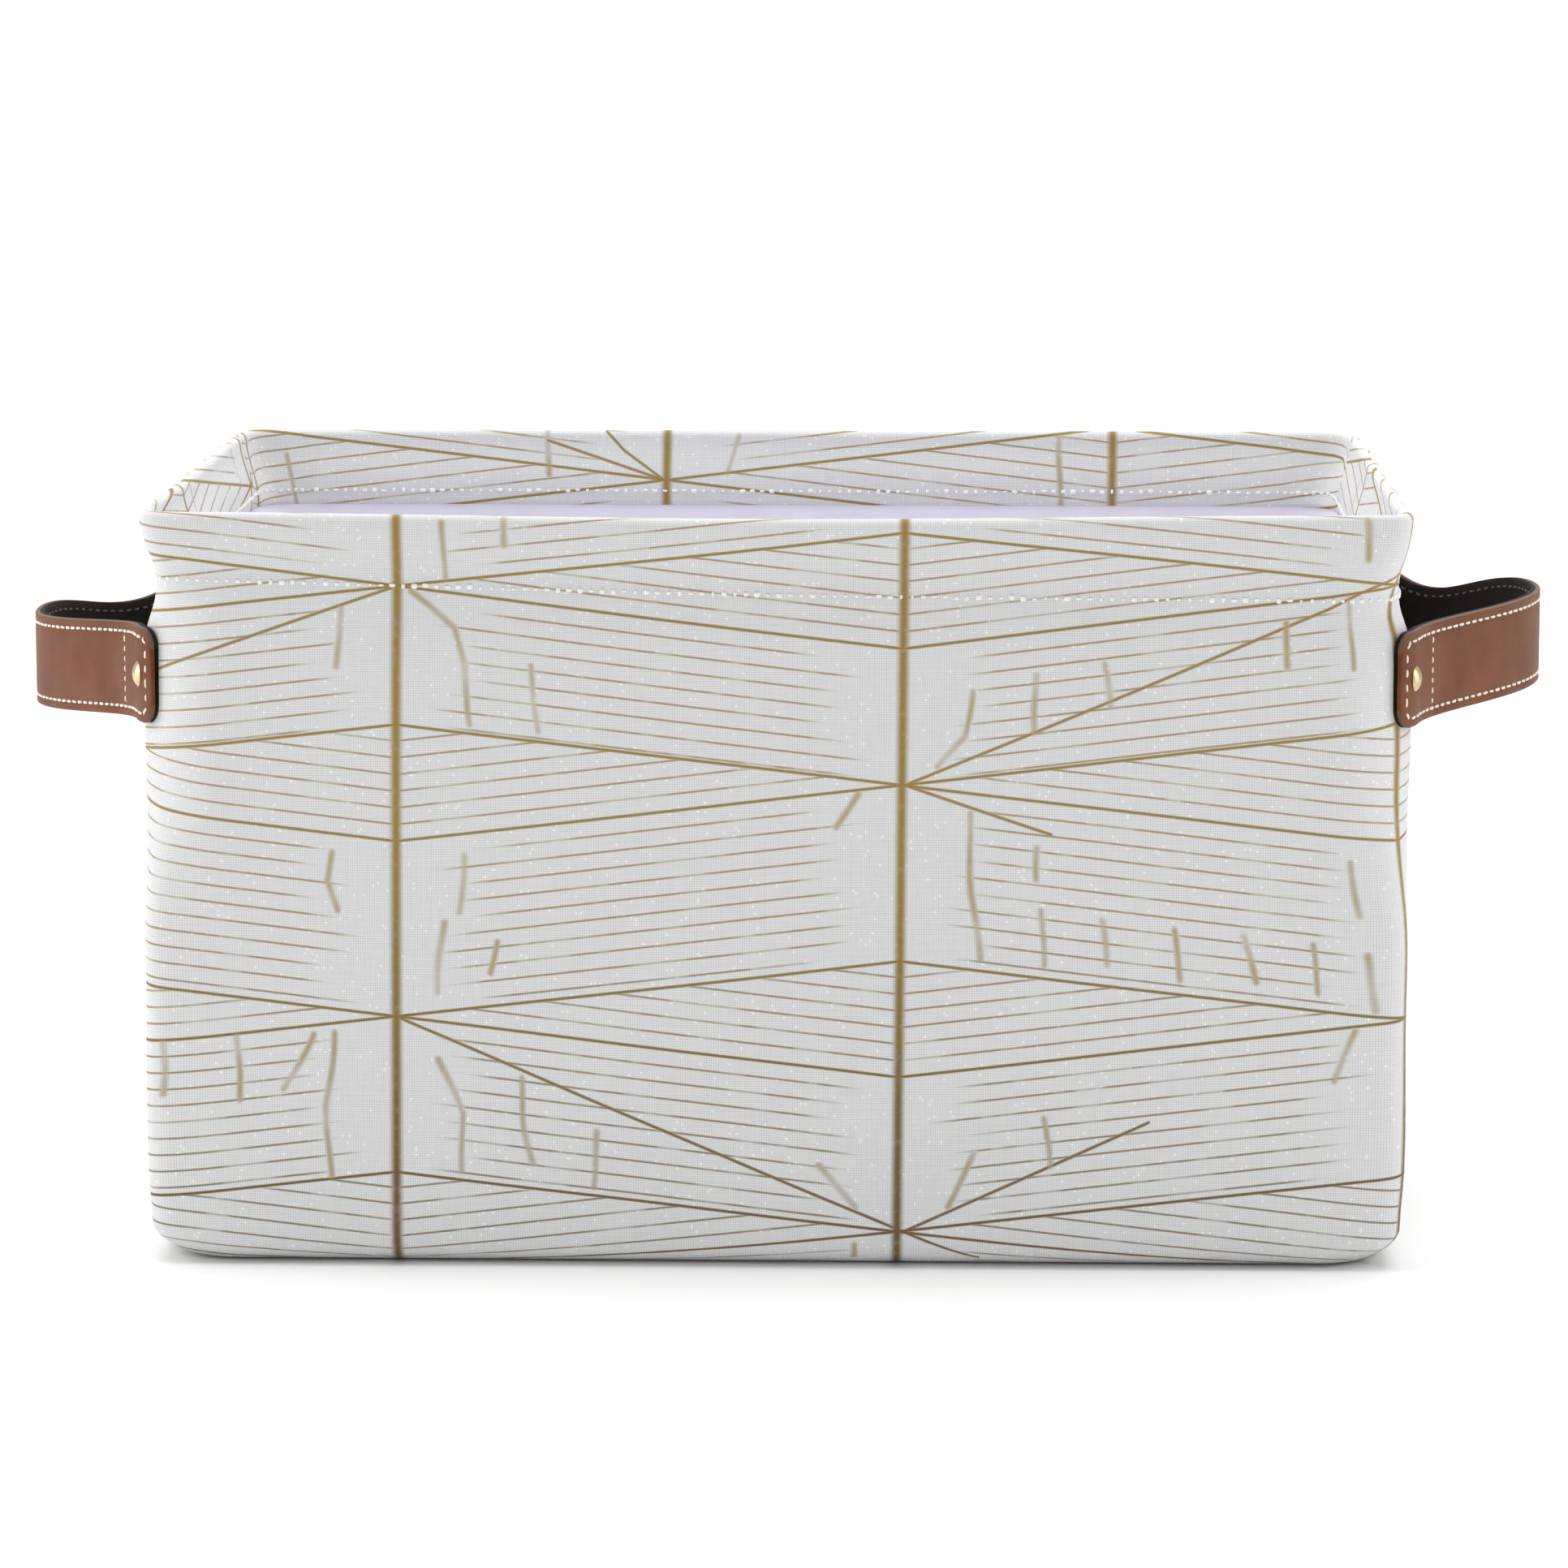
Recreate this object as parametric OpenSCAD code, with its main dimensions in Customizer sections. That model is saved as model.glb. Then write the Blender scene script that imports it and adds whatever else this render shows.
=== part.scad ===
// Rectangular fabric storage bin with two strap handles and a lift-out base board.
// Millimetres, +Z up. The origin is on the floor under the middle of the bin.
// The front faces -Y and the handles are on the left (-X) and right (+X) ends.

/* [Bin body] */
// Width outside, from the left end wall to the right one
body_w = 400; // [320:5:480]
// Depth outside, from the front wall to the back one
body_d = 280; // [240:5:340]
// Height from the floor to the top of the rim
body_h = 240; // [200:5:320]
// Radius of the four upright corners, outside
corner_r = 28; // [24:1:34]
// Radius where the walls turn under into the base, outside
base_r = 14; // [12:1:18]

/* [Cloth layers] */
// Thickness of the printed canvas
canvas_t = 1.0; // [0.8:0.1:1.4]
// Thickness of the padding between canvas and lining
padding_t = 2.0; // [1.5:0.5:3]
// Thickness of the coated lining
lining_t = 0.8; // [0.6:0.1:1.2]

/* [Hem] */
// How far the canvas is folded down inside the rim
facing_h = 30; // [24:1:34]
// Diameter of the rim wire inside the fold
wire_d = 2.0; // [1.6:0.1:2]
// Length of the crimped sleeve that joins the wire's ends
ferrule_l = 16; // [10:1:24]

/* [Handles] */
// Width of the handle strap
strap_w = 27; // [22:1:30]
// Distance from the rim down to the strap's top edge at its ends
strap_drop = 39.5; // [35:0.5:60]
// How far the middle of the strap stands out from the wall, to its outer face
strap_bow = 51; // [50:1:60]
// How far the middle of the left strap hangs below its ends
left_sag = 9; // [0:1:16]
// How far the middle of the right strap hangs below its ends
right_sag = 0; // [0:1:16]
// How much further each strap hangs in its back half
back_sag = 8; // [0:1:10]
// Thickness of the strap's outer leather
leather_t = 1.6; // [1.2:0.1:2]
// Thickness of the strap's black inner layer
backing_t = 1.4; // [1:0.1:1.6]
// Angle of the upright corner that each strap end is wrapped round
tab_wrap = 40; // [36:1:44]
// Radius of the corners at the strap's cut ends
tab_end_r = 6; // [3:1:7]

/* [Rivets] */
// Diameter of the rivet's domed head
rivet_head_d = 8; // [7:0.5:9]
// Height of the rivet's domed head
rivet_head_h = 1.6; // [1.2:0.1:2]
// Diameter of the rivet's shank
rivet_shank_d = 3.2; // [3:0.1:3.6]
// Diameter of the washer inside the bin
washer_d = 7; // [6:0.5:8]
// Thickness of the washer
washer_t = 1.0; // [0.8:0.1:1.2]

/* [Base board] */
// Thickness of the stiff board
board_t = 2.5; // [2:0.5:4]
// Thickness of the cloth cover round the board
cover_t = 0.8; // [0.6:0.1:1]
// Gap between the covered board and the foot of the walls
board_gap = 0.5; // [0.5:0.5:3]

/* [Quality] */
// Facets round a full circle
$fn = 96; // [48:8:160]

/* [Hidden] */

canvas_colour = [0.86, 0.86, 0.85];
padding_colour = [0.93, 0.93, 0.9];
lining_colour = [0.9, 0.89, 0.96];
leather_colour = [0.5, 0.3, 0.2];
backing_colour = [0.08, 0.06, 0.05];
brass_colour = [0.8, 0.65, 0.3];
steel_colour = [0.7, 0.7, 0.72];
board_colour = [0.6, 0.5, 0.38];

LEFT = -1;
RIGHT = 1;
FRONT = -1;
BACK = 1;

// Centre of each upright corner, as distances from the middle of the bin
corner_x = body_w / 2 - corner_r;
corner_y = body_d / 2 - corner_r;

// Depths below the outer face at which the layers of the wall lie
padding_in = canvas_t;
lining_in = canvas_t + padding_t;
wall_t = canvas_t + padding_t + lining_t;
hem_t = wall_t + canvas_t;
hem_r = hem_t / 2;
fold_z = body_h - hem_r;
core_gap = 0.4;
core_top = fold_z - (hem_r - canvas_t) - core_gap;
ferrule_d = 2 * (hem_r - canvas_t) - 0.1;
wire_end_gap = 0.5;

// The strap leaves the wall at the end of the upright corner and bows out between the two corners
strap_z = body_h - strap_drop - strap_w / 2;
strap_t = leather_t + backing_t;
bow = strap_bow - strap_t;
// The strap flexes about an upright line this far out from the wall
flex_out = 16;
// The loop that swings starts where the strap is a little further out than that line
loop_out = flex_out + 1;
loop_y = corner_y * acos(2 * loop_out / bow - 1) / 180;
loop_gap = 0.3;
loop_steps = 28;
end_steps = 8;
// The flats of a wrapped strap end touch the round corner from outside
wrap_steps = 8;
wrap_step = tab_wrap / wrap_steps;
tab_seat_r = corner_r / cos(wrap_step / 2);

rivet_angle = tab_wrap / 2;
bore_clearance = 0.05;
washer_seat = sqrt(pow(corner_r - wall_t, 2) - pow(washer_d / 2, 2)) - 0.02;
rivet_tail = 0.6;

board_z = wall_t;
cover_w = body_w - 2 * (base_r + board_gap);
cover_d = body_d - 2 * (base_r + board_gap);
cover_r = corner_r - base_r - board_gap;
cover_h = board_t + 2 * cover_t;

// ---- Shapes that more than one piece uses ----

// The lower right quarter of a ring
module quarter_ring(outer, inner) {
    difference() {
        circle(r = outer);
        circle(r = inner);
        translate([-2 * outer, -2 * outer]) square([2 * outer, 4 * outer]);
        translate([-2 * outer, 0]) square([4 * outer, 2 * outer]);
    }
}

// Upright section of one wall layer, from the base seam round the bottom edge and up to top.
// The first axis is the distance from the upright corner's centre line.
module layer_section(inset, thick, top) {
    translate([corner_r - inset - thick, base_r]) square([thick, top - base_r]);
    translate([corner_r - base_r, base_r]) quarter_ring(base_r - inset, base_r - inset - thick);
}

// The canvas goes up the outside, over the rim and down the inside as the facing
module canvas_section() {
    layer_section(0, canvas_t, fold_z);
    translate([corner_r - hem_r, fold_z])
        difference() {
            circle(r = hem_r);
            circle(r = hem_r - canvas_t);
            translate([-hem_t, -2 * hem_t]) square([2 * hem_t, 2 * hem_t]);
        }
    translate([corner_r - hem_t, body_h - facing_h]) square([canvas_t, facing_h - hem_r]);
}

// A section run straight along Y, facing +X
module straight_run(length) {
    rotate([90, 0, 0]) linear_extrude(height = length, center = true) children();
}

// A section run round a quarter turn, from facing -Y to facing +X
module corner_run() {
    rotate([0, 0, -90]) rotate_extrude(angle = 90) children();
}

// Front wall layer with both upright corners, in one piece of cloth
module wrapped_wall() {
    translate([0, -corner_y, 0]) rotate([0, 0, -90]) straight_run(2 * corner_x) children();
    translate([corner_x, -corner_y, 0]) corner_run() children();
    translate([-corner_x, -corner_y, 0]) rotate([0, 0, -90]) corner_run() children();
}

// Flat end wall layer between the upright corners
module end_wall() {
    translate([corner_x, 0, 0]) straight_run(2 * corner_y) children();
}

module rounded_rectangle(w, d, r) {
    square([w - 2 * r, d], center = true);
    square([w, d - 2 * r], center = true);
    for (x = [-1, 1], y = [-1, 1])
        translate([x * (w / 2 - r), y * (d / 2 - r)]) circle(r = r);
}

module base_layer(z, thick) {
    translate([0, 0, z])
        linear_extrude(height = thick)
            rounded_rectangle(body_w - 2 * base_r, body_d - 2 * base_r, corner_r - base_r);
}

// Radial hole for the rivet, through whatever is wrapped round the front right corner
module rivet_bore() {
    translate([corner_x, -corner_y, strap_z])
        rotate([0, 0, -rivet_angle])
            rotate([0, 90, 0]) cylinder(r = rivet_shank_d / 2 + bore_clearance, h = 2 * corner_r);
}

module both_rivet_bores() {
    rivet_bore();
    mirror([1, 0, 0]) rivet_bore();
}

// ---- Canvas ----

module front_panel() {
    color(canvas_colour)
        difference() {
            wrapped_wall() canvas_section();
            both_rivet_bores();
        }
}

module back_panel() {
    mirror([0, 1, 0]) front_panel();
}

module right_panel() {
    color(canvas_colour) end_wall() canvas_section();
}

module left_panel() {
    mirror([1, 0, 0]) right_panel();
}

module base_panel() {
    color(canvas_colour) base_layer(0, canvas_t);
}

// ---- Padding ----

module front_padding() {
    color(padding_colour)
        translate([-corner_x, -body_d / 2 + padding_in, base_r])
            cube([2 * corner_x, padding_t, core_top - base_r]);
}

module back_padding() {
    mirror([0, 1, 0]) front_padding();
}

module right_padding() {
    color(padding_colour)
        translate([body_w / 2 - padding_in - padding_t, -corner_y, base_r])
            cube([padding_t, 2 * corner_y, core_top - base_r]);
}

module left_padding() {
    mirror([1, 0, 0]) right_padding();
}

module base_padding() {
    color(padding_colour) base_layer(padding_in, padding_t);
}

// ---- Lining ----

module front_lining() {
    color(lining_colour)
        difference() {
            wrapped_wall() layer_section(lining_in, lining_t, core_top);
            both_rivet_bores();
        }
}

module back_lining() {
    mirror([0, 1, 0]) front_lining();
}

module right_lining() {
    color(lining_colour) end_wall() layer_section(lining_in, lining_t, core_top);
}

module left_lining() {
    mirror([1, 0, 0]) right_lining();
}

module base_lining() {
    color(lining_colour) base_layer(lining_in, lining_t);
}

// ---- Rim wire ----

module wire_section() {
    translate([corner_r - hem_r, fold_z]) circle(d = wire_d);
}

// One ring round the rim, cut through at the middle of the back wall
module rim_wire() {
    color(steel_colour)
        difference() {
            union() {
                wrapped_wall() wire_section();
                mirror([0, 1, 0]) wrapped_wall() wire_section();
                end_wall() wire_section();
                mirror([1, 0, 0]) end_wall() wire_section();
            }
            translate([-wire_end_gap / 2, 0, fold_z - wire_d])
                cube([wire_end_gap, body_d, 2 * wire_d]);
        }
}

module wire_ferrule() {
    color(steel_colour)
        translate([0, body_d / 2 - hem_r, fold_z])
            rotate([0, 90, 0])
                difference() {
                    cylinder(d = ferrule_d, h = ferrule_l, center = true);
                    cylinder(d = wire_d + 2 * bore_clearance, h = ferrule_l + 1, center = true);
                }
}

// ---- Strap handles ----

// How far the strap's wall side stands off the wall, and how that changes with y
function standoff(y) = bow / 2 * (1 + cos(180 * y / corner_y));
function standoff_slope(y) = -bow / 2 * PI / corner_y * sin(180 * y / corner_y);
function standoff_stretch(y) = sqrt(1 + pow(standoff_slope(y), 2));
function droop(y, sag, in_back) =
    sag * standoff(y) / bow + (in_back ? back_sag * pow(sin(180 * y / corner_y), 2) : 0);

// Four corners of the strap's section at y, for a layer that starts inner and ends outer
// above the strap's wall side
function strap_ring(y, inner, outer, sag, in_back) =
    let (near = body_w / 2 + standoff(y) + inner * standoff_stretch(y),
         far = body_w / 2 + standoff(y) + outer * standoff_stretch(y),
         low = strap_z - strap_w / 2 - droop(y, sag, in_back),
         high = low + strap_w)
    [[near, y, low], [far, y, low], [far, y, high], [near, y, high]];

// The same, where the strap is wrapped round the front right corner at this angle from +X
function wrapped_ring(angle, inner, outer) =
    let (out = [cos(angle), sin(angle)],
         near = [corner_x, -corner_y] + (tab_seat_r + inner) * out,
         far = [corner_x, -corner_y] + (tab_seat_r + outer) * out,
         low = strap_z - strap_w / 2,
         high = low + strap_w)
    [[near.x, near.y, low], [far.x, far.y, low], [far.x, far.y, high], [near.x, near.y, high]];

// Evenly spaced places from one to the other
function places(first, last, steps) = [for (i = [0:steps]) first + (last - first) * i / steps];

// Solid that joins four-cornered rings in their order
module strip(rings) {
    last = 4 * (len(rings) - 1);
    points = [for (ring = rings) for (corner = ring) corner];
    sides = [for (a = [0:4:last - 4], k = [0:3])
                let (p = a + k, q = a + (k + 1) % 4)
                each [[p, q, p + 4], [q, q + 4, p + 4]]];
    ends = [[0, 2, 1], [0, 3, 2], [last, last + 1, last + 2], [last, last + 2, last + 3]];
    polyhedron(points = points, faces = concat(sides, ends));
}

// What is cut away to round the strap end's two free corners, seen along the rivet
module tab_corner_waste() {
    reach = (corner_r + strap_t) * sin(tab_wrap / 2);
    for (flip = [0, 1])
        mirror([0, flip])
            translate([reach - tab_end_r, strap_w / 2 - tab_end_r])
                difference() {
                    square(2 * tab_end_r);
                    circle(r = tab_end_r);
                }
}

// Front strap end on the right end wall: wrapped round the corner, riveted, then lifting away.
// The back one is its mirror image, except that it hangs further.
module strap_end(inner, outer, sag, in_back) {
    wrapped = [for (i = [0:wrap_steps - 1]) wrapped_ring(-tab_wrap + i * wrap_step, inner, outer)];
    lifting = [for (y = places(-corner_y, -loop_y, end_steps))
                  strap_ring(y, inner, outer, sag, in_back)];
    difference() {
        strip(concat(wrapped, lifting));
        translate([corner_x, -corner_y, strap_z])
            rotate([0, 0, -rivet_angle])
                rotate([90, 0, -90])
                    translate([0, 0, -2 * corner_r])
                        linear_extrude(height = 2 * corner_r) tab_corner_waste();
        rivet_bore();
    }
}

module strap_end_at(side, end, inner, outer, sag) {
    mirror([side == LEFT ? 1 : 0, 0, 0])
        mirror([0, end == BACK ? 1 : 0, 0])
            strap_end(inner, outer, sag, end == BACK);
}

module leather_tab(side, end, sag) {
    color(leather_colour) strap_end_at(side, end, backing_t, strap_t, sag);
}

module backing_tab(side, end, sag) {
    color(backing_colour) strap_end_at(side, end, 0, backing_t, sag);
}

module strap_loop(side, inner, outer, sag) {
    mirror([side == LEFT ? 1 : 0, 0, 0])
        strip([for (y = places(-loop_y + loop_gap, loop_y - loop_gap, loop_steps))
                  strap_ring(y, inner, outer, sag, y > 0)]);
}

module left_front_tab() { leather_tab(LEFT, FRONT, left_sag); }
module left_back_tab() { leather_tab(LEFT, BACK, left_sag); }
module right_front_tab() { leather_tab(RIGHT, FRONT, right_sag); }
module right_back_tab() { leather_tab(RIGHT, BACK, right_sag); }

module left_front_tab_backing() { backing_tab(LEFT, FRONT, left_sag); }
module left_back_tab_backing() { backing_tab(LEFT, BACK, left_sag); }
module right_front_tab_backing() { backing_tab(RIGHT, FRONT, right_sag); }
module right_back_tab_backing() { backing_tab(RIGHT, BACK, right_sag); }

module left_strap() { color(leather_colour) strap_loop(LEFT, backing_t, strap_t, left_sag); }
module left_strap_backing() { color(backing_colour) strap_loop(LEFT, 0, backing_t, left_sag); }
module right_strap() { color(leather_colour) strap_loop(RIGHT, backing_t, strap_t, right_sag); }
module right_strap_backing() { color(backing_colour) strap_loop(RIGHT, 0, backing_t, right_sag); }

// ---- Rivets and washers ----

// Upright rivet: the head's underside at z = 0, the shank below it
module rivet() {
    // Radius of the ball that gives a dome of this width and height
    dome_r = (pow(rivet_head_d / 2, 2) + pow(rivet_head_h, 2)) / (2 * rivet_head_h);
    shank_l = tab_seat_r + strap_t - washer_seat + washer_t;
    rotate_extrude()
        intersection() {
            translate([0, rivet_head_h - dome_r]) circle(r = dome_r);
            square([rivet_head_d, rivet_head_h]);
        }
    translate([0, 0, -shank_l]) cylinder(d = rivet_shank_d, h = shank_l);
    translate([0, 0, -shank_l - rivet_tail]) cylinder(d = rivet_shank_d + 1.2, h = rivet_tail);
}

module washer() {
    difference() {
        cylinder(d = washer_d, h = washer_t);
        translate([0, 0, -1]) cylinder(r = rivet_shank_d / 2 + bore_clearance, h = washer_t + 2);
    }
}

// Places its children this far out along the rivet's line, at both strap ends of the right wall
module at_both_rivets(out) {
    for (flip = [0, 1])
        mirror([0, flip, 0])
            translate([corner_x, -corner_y, strap_z])
                rotate([0, 0, -rivet_angle])
                    translate([out, 0, 0]) rotate([0, 90, 0]) children();
}

module right_rivets() {
    color(brass_colour) at_both_rivets(tab_seat_r + strap_t) rivet();
}

module left_rivets() {
    mirror([1, 0, 0]) right_rivets();
}

module right_washers() {
    color(brass_colour) at_both_rivets(washer_seat - washer_t) washer();
}

module left_washers() {
    mirror([1, 0, 0]) right_washers();
}

// ---- Lift-out base board ----

module board_slab(shrink) {
    translate([0, 0, board_z + shrink])
        linear_extrude(height = cover_h - 2 * shrink)
            rounded_rectangle(cover_w - 2 * shrink, cover_d - 2 * shrink, cover_r - shrink);
}

module base_board() {
    color(board_colour) board_slab(cover_t);
}

module board_cover() {
    color(lining_colour)
        difference() {
            board_slab(0);
            board_slab(cover_t);
        }
}

front_panel();
back_panel();
left_panel();
right_panel();
base_panel();
front_padding();
back_padding();
left_padding();
right_padding();
base_padding();
front_lining();
back_lining();
left_lining();
right_lining();
base_lining();
rim_wire();
wire_ferrule();
left_front_tab();
left_back_tab();
right_front_tab();
right_back_tab();
left_front_tab_backing();
left_back_tab_backing();
right_front_tab_backing();
right_back_tab_backing();
left_rivets();
right_rivets();
left_washers();
right_washers();
left_strap();
left_strap_backing();
right_strap();
right_strap_backing();
base_board();
board_cover();
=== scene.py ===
# %% [markdown]
# # A fabric storage bin with strap handles
# The bin is a box of printed canvas, padded and lined, with a wire in its rim, a lift-out board
# and two leather handles. Each sewn piece is made from the same description of the wall, so that
# the layers stay one inside the other when the wall is made soft and a little uneven.

# %% Load the frame
import math
import bpy
import numpy as np
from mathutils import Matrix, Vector


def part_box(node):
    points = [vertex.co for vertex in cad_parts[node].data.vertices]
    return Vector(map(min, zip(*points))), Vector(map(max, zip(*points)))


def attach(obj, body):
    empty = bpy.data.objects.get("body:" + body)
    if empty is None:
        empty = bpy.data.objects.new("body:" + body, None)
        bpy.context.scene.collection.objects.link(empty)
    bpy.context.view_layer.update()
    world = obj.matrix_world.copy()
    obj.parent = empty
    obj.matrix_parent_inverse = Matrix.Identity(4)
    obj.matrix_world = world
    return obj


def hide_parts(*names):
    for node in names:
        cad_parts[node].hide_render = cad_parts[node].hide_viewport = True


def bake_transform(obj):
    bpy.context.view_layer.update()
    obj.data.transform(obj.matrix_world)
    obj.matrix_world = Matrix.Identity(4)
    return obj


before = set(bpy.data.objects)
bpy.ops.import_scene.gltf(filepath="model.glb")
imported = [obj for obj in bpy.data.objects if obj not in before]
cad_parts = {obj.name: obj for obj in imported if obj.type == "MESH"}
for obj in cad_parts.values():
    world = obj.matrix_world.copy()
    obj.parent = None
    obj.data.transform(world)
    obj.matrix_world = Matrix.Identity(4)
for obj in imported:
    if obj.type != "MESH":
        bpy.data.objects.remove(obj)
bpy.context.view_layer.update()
MM = 0.001

# %% [markdown]
# ## Sizes
# The pieces have to fit the bin's own frame, so the sizes are read from its parts. Only what a
# part's box can't tell, such as how far the canvas is turned down inside, is given.

# %% Read the sizes
def low(node):
    return np.array(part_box(node)[0])


def high(node):
    return np.array(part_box(node)[1])


half_width = high("front_panel")[0]
half_depth = high("back_panel")[1]
rim_height = high("front_panel")[2]
corner_radius = half_depth - high("right_panel")[1]
foot_radius = half_width - high("base_panel")[0]
canvas_thick = (high("base_panel") - low("base_panel"))[2]
padding_thick = (high("base_padding") - low("base_padding"))[2]
lining_thick = (high("base_lining") - low("base_lining"))[2]
core_top = high("front_lining")[2]
hem_radius = (2 * canvas_thick + padding_thick + lining_thick) / 2
fold_height = rim_height - hem_radius
core_x, core_y = half_width - corner_radius, half_depth - corner_radius
print(f"bin {2e3 * half_width:.0f} x {2e3 * half_depth:.0f} x {1e3 * rim_height:.0f} mm, "
      f"corner radius {1e3 * corner_radius:.0f} mm, hem {2e3 * hem_radius:.1f} mm thick")

# %% [markdown]
# ## Camera
# The bin is seen from a little above its rim. A short lens close by would spread the near rim far
# wider than the far one, so a long lens stands two metres away, a few centimetres to the right,
# and keeps the sides nearly upright.

# %% Set up the camera
camera_place = (0.0549, -1.9896, 0.4403)
looks_down, looks_left = 8.754, 1.598
camera_lens = bpy.data.cameras.new("camera")
camera_lens.lens = 137.6
camera_lens.sensor_width = 36
camera = bpy.data.objects.new("camera", camera_lens)
bpy.context.scene.collection.objects.link(camera)
camera.location = camera_place
camera.rotation_euler = (math.radians(90 - looks_down), 0, math.radians(looks_left))
bpy.context.scene.camera = camera
print(f"a {camera_lens.lens:.0f} mm lens {-camera_place[1]:.2f} m in front of the bin's middle, "
      f"looking {looks_down:.1f} degrees down")

# %% [markdown]
# ## The shape of the wall
# Seen from above, the bin is a rectangle with round corners. A place on the wall is given by how
# far round it lies, from the middle of the front, and by how high it is. The wall isn't a stiff
# box: it bellies out, is drawn in along the hem's stitches, flares out to squarer corners at the
# wired rim and stays calm under the riveted handles. Cloth simulation could find such a shape,
# but canvas, padding and lining lie tight on each other, and each simulated by itself would cut
# through the next. Here one function holds the whole shape, and every layer asks it.

# %% Describe the outline
quarter = corner_radius * math.pi / 2
turn_1 = core_x
turn_2 = turn_1 + quarter
turn_3 = turn_2 + 2 * core_y
turn_4 = turn_3 + quarter
halfway = turn_4 + core_x
seam = turn_2


def from_front(around):
    """The same place, counted the shorter way round from the middle of the front."""
    return (np.asarray(around, float) + halfway) % (2 * halfway) - halfway


def outline(around):
    """Centre-line point, outward direction and corner angle this far round from the front."""
    around = from_front(around)
    side = np.where(around < 0, -1.0, 1.0)
    a = np.abs(around)
    x = np.interp(a, [0, turn_1, turn_4, halfway], [0, core_x, core_x, 0])
    y = np.interp(a, [0, turn_2, turn_3, halfway], [-core_y, -core_y, core_y, core_y])
    angle = np.interp(a, [0, turn_1, turn_2, turn_3, turn_4, halfway],
                      np.radians([0, 0, 90, 90, 180, 180]))
    return side * x, y, side * np.sin(angle), -np.cos(angle), angle


print(f"once round the outside: {2 * halfway:.3f} m")

# %% Describe how the cloth gives
tab_height = (low("right_front_tab")[2] + high("right_front_tab")[2]) / 2
tab_turn = math.radians(20)
tab_places = (turn_2 - corner_radius * tab_turn, turn_3 + corner_radius * tab_turn)
row_height, row_rises_back, row_falls_right = 0.2173, 0.012, 0.0155
facing_below_row = 5 * MM
hem_draw, hem_draw_spread = 4.2 * MM, 17 * MM
rim_square, rim_from, rim_full = 0.8, 0.203, 0.230
wall_square, wall_from, wall_full = 0.85, 0.160, 0.100
front_belly, end_belly, belly_top = 1.6, 1.2, 0.21
foot_tuck, foot_tuck_height, foot_tuck_spread = 1.1 * MM, 0.014, 11 * MM
still_foot = 12 * MM
ripple_size = 0.17 * MM
calm_wide, calm_high = 19 * MM, 17 * MM
front_dip, end_dip, dip_from = 1.7 * MM, 0.6 * MM, 0.15


def smooth(value, start, end):
    """0 at start and 1 at end, with a smooth rise between."""
    t = np.clip((value - start) / (end - start), 0, 1)
    return t * t * (3 - 2 * t)


def stitch_height(around):
    """Height of the hem's stitch row, which wanders a few millimetres off level."""
    x, y, nx, ny, _ = outline(around)
    x, y = x + corner_radius * nx, y + corner_radius * ny
    return row_height + row_rises_back * y - row_falls_right * x * (0.5 - y / (2 * half_depth))


def facing_end(around):
    """Height of the lower edge of the canvas that is turned down inside."""
    return stitch_height(around) - facing_below_row


def squareness(angle):
    """How much further out a nearly square corner reaches than a round one, as a share."""
    power = 7
    return (np.abs(np.cos(angle)) ** power + np.abs(np.sin(angle)) ** power) ** (-1 / power) - 1


def softness(around, z):
    """How far the wall stands out from its plain shape."""
    x, y, nx, ny, angle = outline(around)
    end_wall = nx * nx
    row = stitch_height(around)
    drawn_in = np.where(z > row, 1 - smooth(z, row + 0.5 * MM, rim_height - 1 * MM),
                        np.exp(-((row - z) / hem_draw_spread) ** 2))
    out = -hem_draw * drawn_in
    out += corner_radius * squareness(angle) * (
        rim_square * smooth(z, rim_from, rim_full) + wall_square * smooth(z, wall_from, wall_full))
    belly = np.abs(ny) * np.cos(np.pi * x / (2 * half_width)) ** 2 * front_belly
    belly = belly + end_wall * np.cos(np.pi * y / (2 * half_depth)) ** 2 * end_belly
    out += MM * belly * np.sin(np.pi * np.clip(z / belly_top, 0, 1))
    out -= foot_tuck * np.exp(-((z - foot_tuck_height) / foot_tuck_spread) ** 2)
    # Long shallow ripples, of waves that don't fit one another
    ripple = np.zeros(np.broadcast(around, z).shape)
    for rounds, rise, start in ((7, 33, 0.4), (-10, 57, 1.9), (13, -80, 3.1), (4, 110, 5.0)):
        ripple = ripple + np.sin(rounds * np.pi * around / halfway + rise * z + start)
    out += ripple_size * ripple
    # The rivets hold the cloth flat under the straps' ends
    calm = np.zeros_like(ripple)
    for place in tab_places:
        away = ((np.abs(from_front(around)) - place) / calm_wide) ** 2
        away = away + ((z - tab_height) / calm_high) ** 2
        calm = calm + np.exp(-away ** 2)
    return out * (1 - np.clip(calm, 0, 1)) * smooth(z, 0, still_foot)


def rim_rise(around):
    """The front and end rims dip a little in their middles."""
    x, y, nx, ny, _ = outline(around)
    front = np.clip(-ny, 0, 1) * np.cos(np.pi * x / (2 * half_width)) ** 2
    ends = nx * nx * np.cos(np.pi * y / (2 * half_depth)) ** 2
    return -front_dip * front - end_dip * ends


def wall_point(around, inset, z):
    """Place on the soft wall, this far in from its outer face."""
    x, y, nx, ny, _ = outline(around)
    reach = corner_radius - inset + softness(around, z)
    lift = rim_rise(around) * smooth(z, dip_from, rim_height)
    return np.stack(np.broadcast_arrays(x + nx * reach, y + ny * reach, z + lift), axis=-1)


tries = np.linspace(-halfway, halfway, 400)[:, None]
give = softness(tries, np.linspace(0, rim_height, 100)[None, :])
print(f"the wall gives between {1e3 * give.min():.1f} and {1e3 * give.max():.1f} mm")

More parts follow.
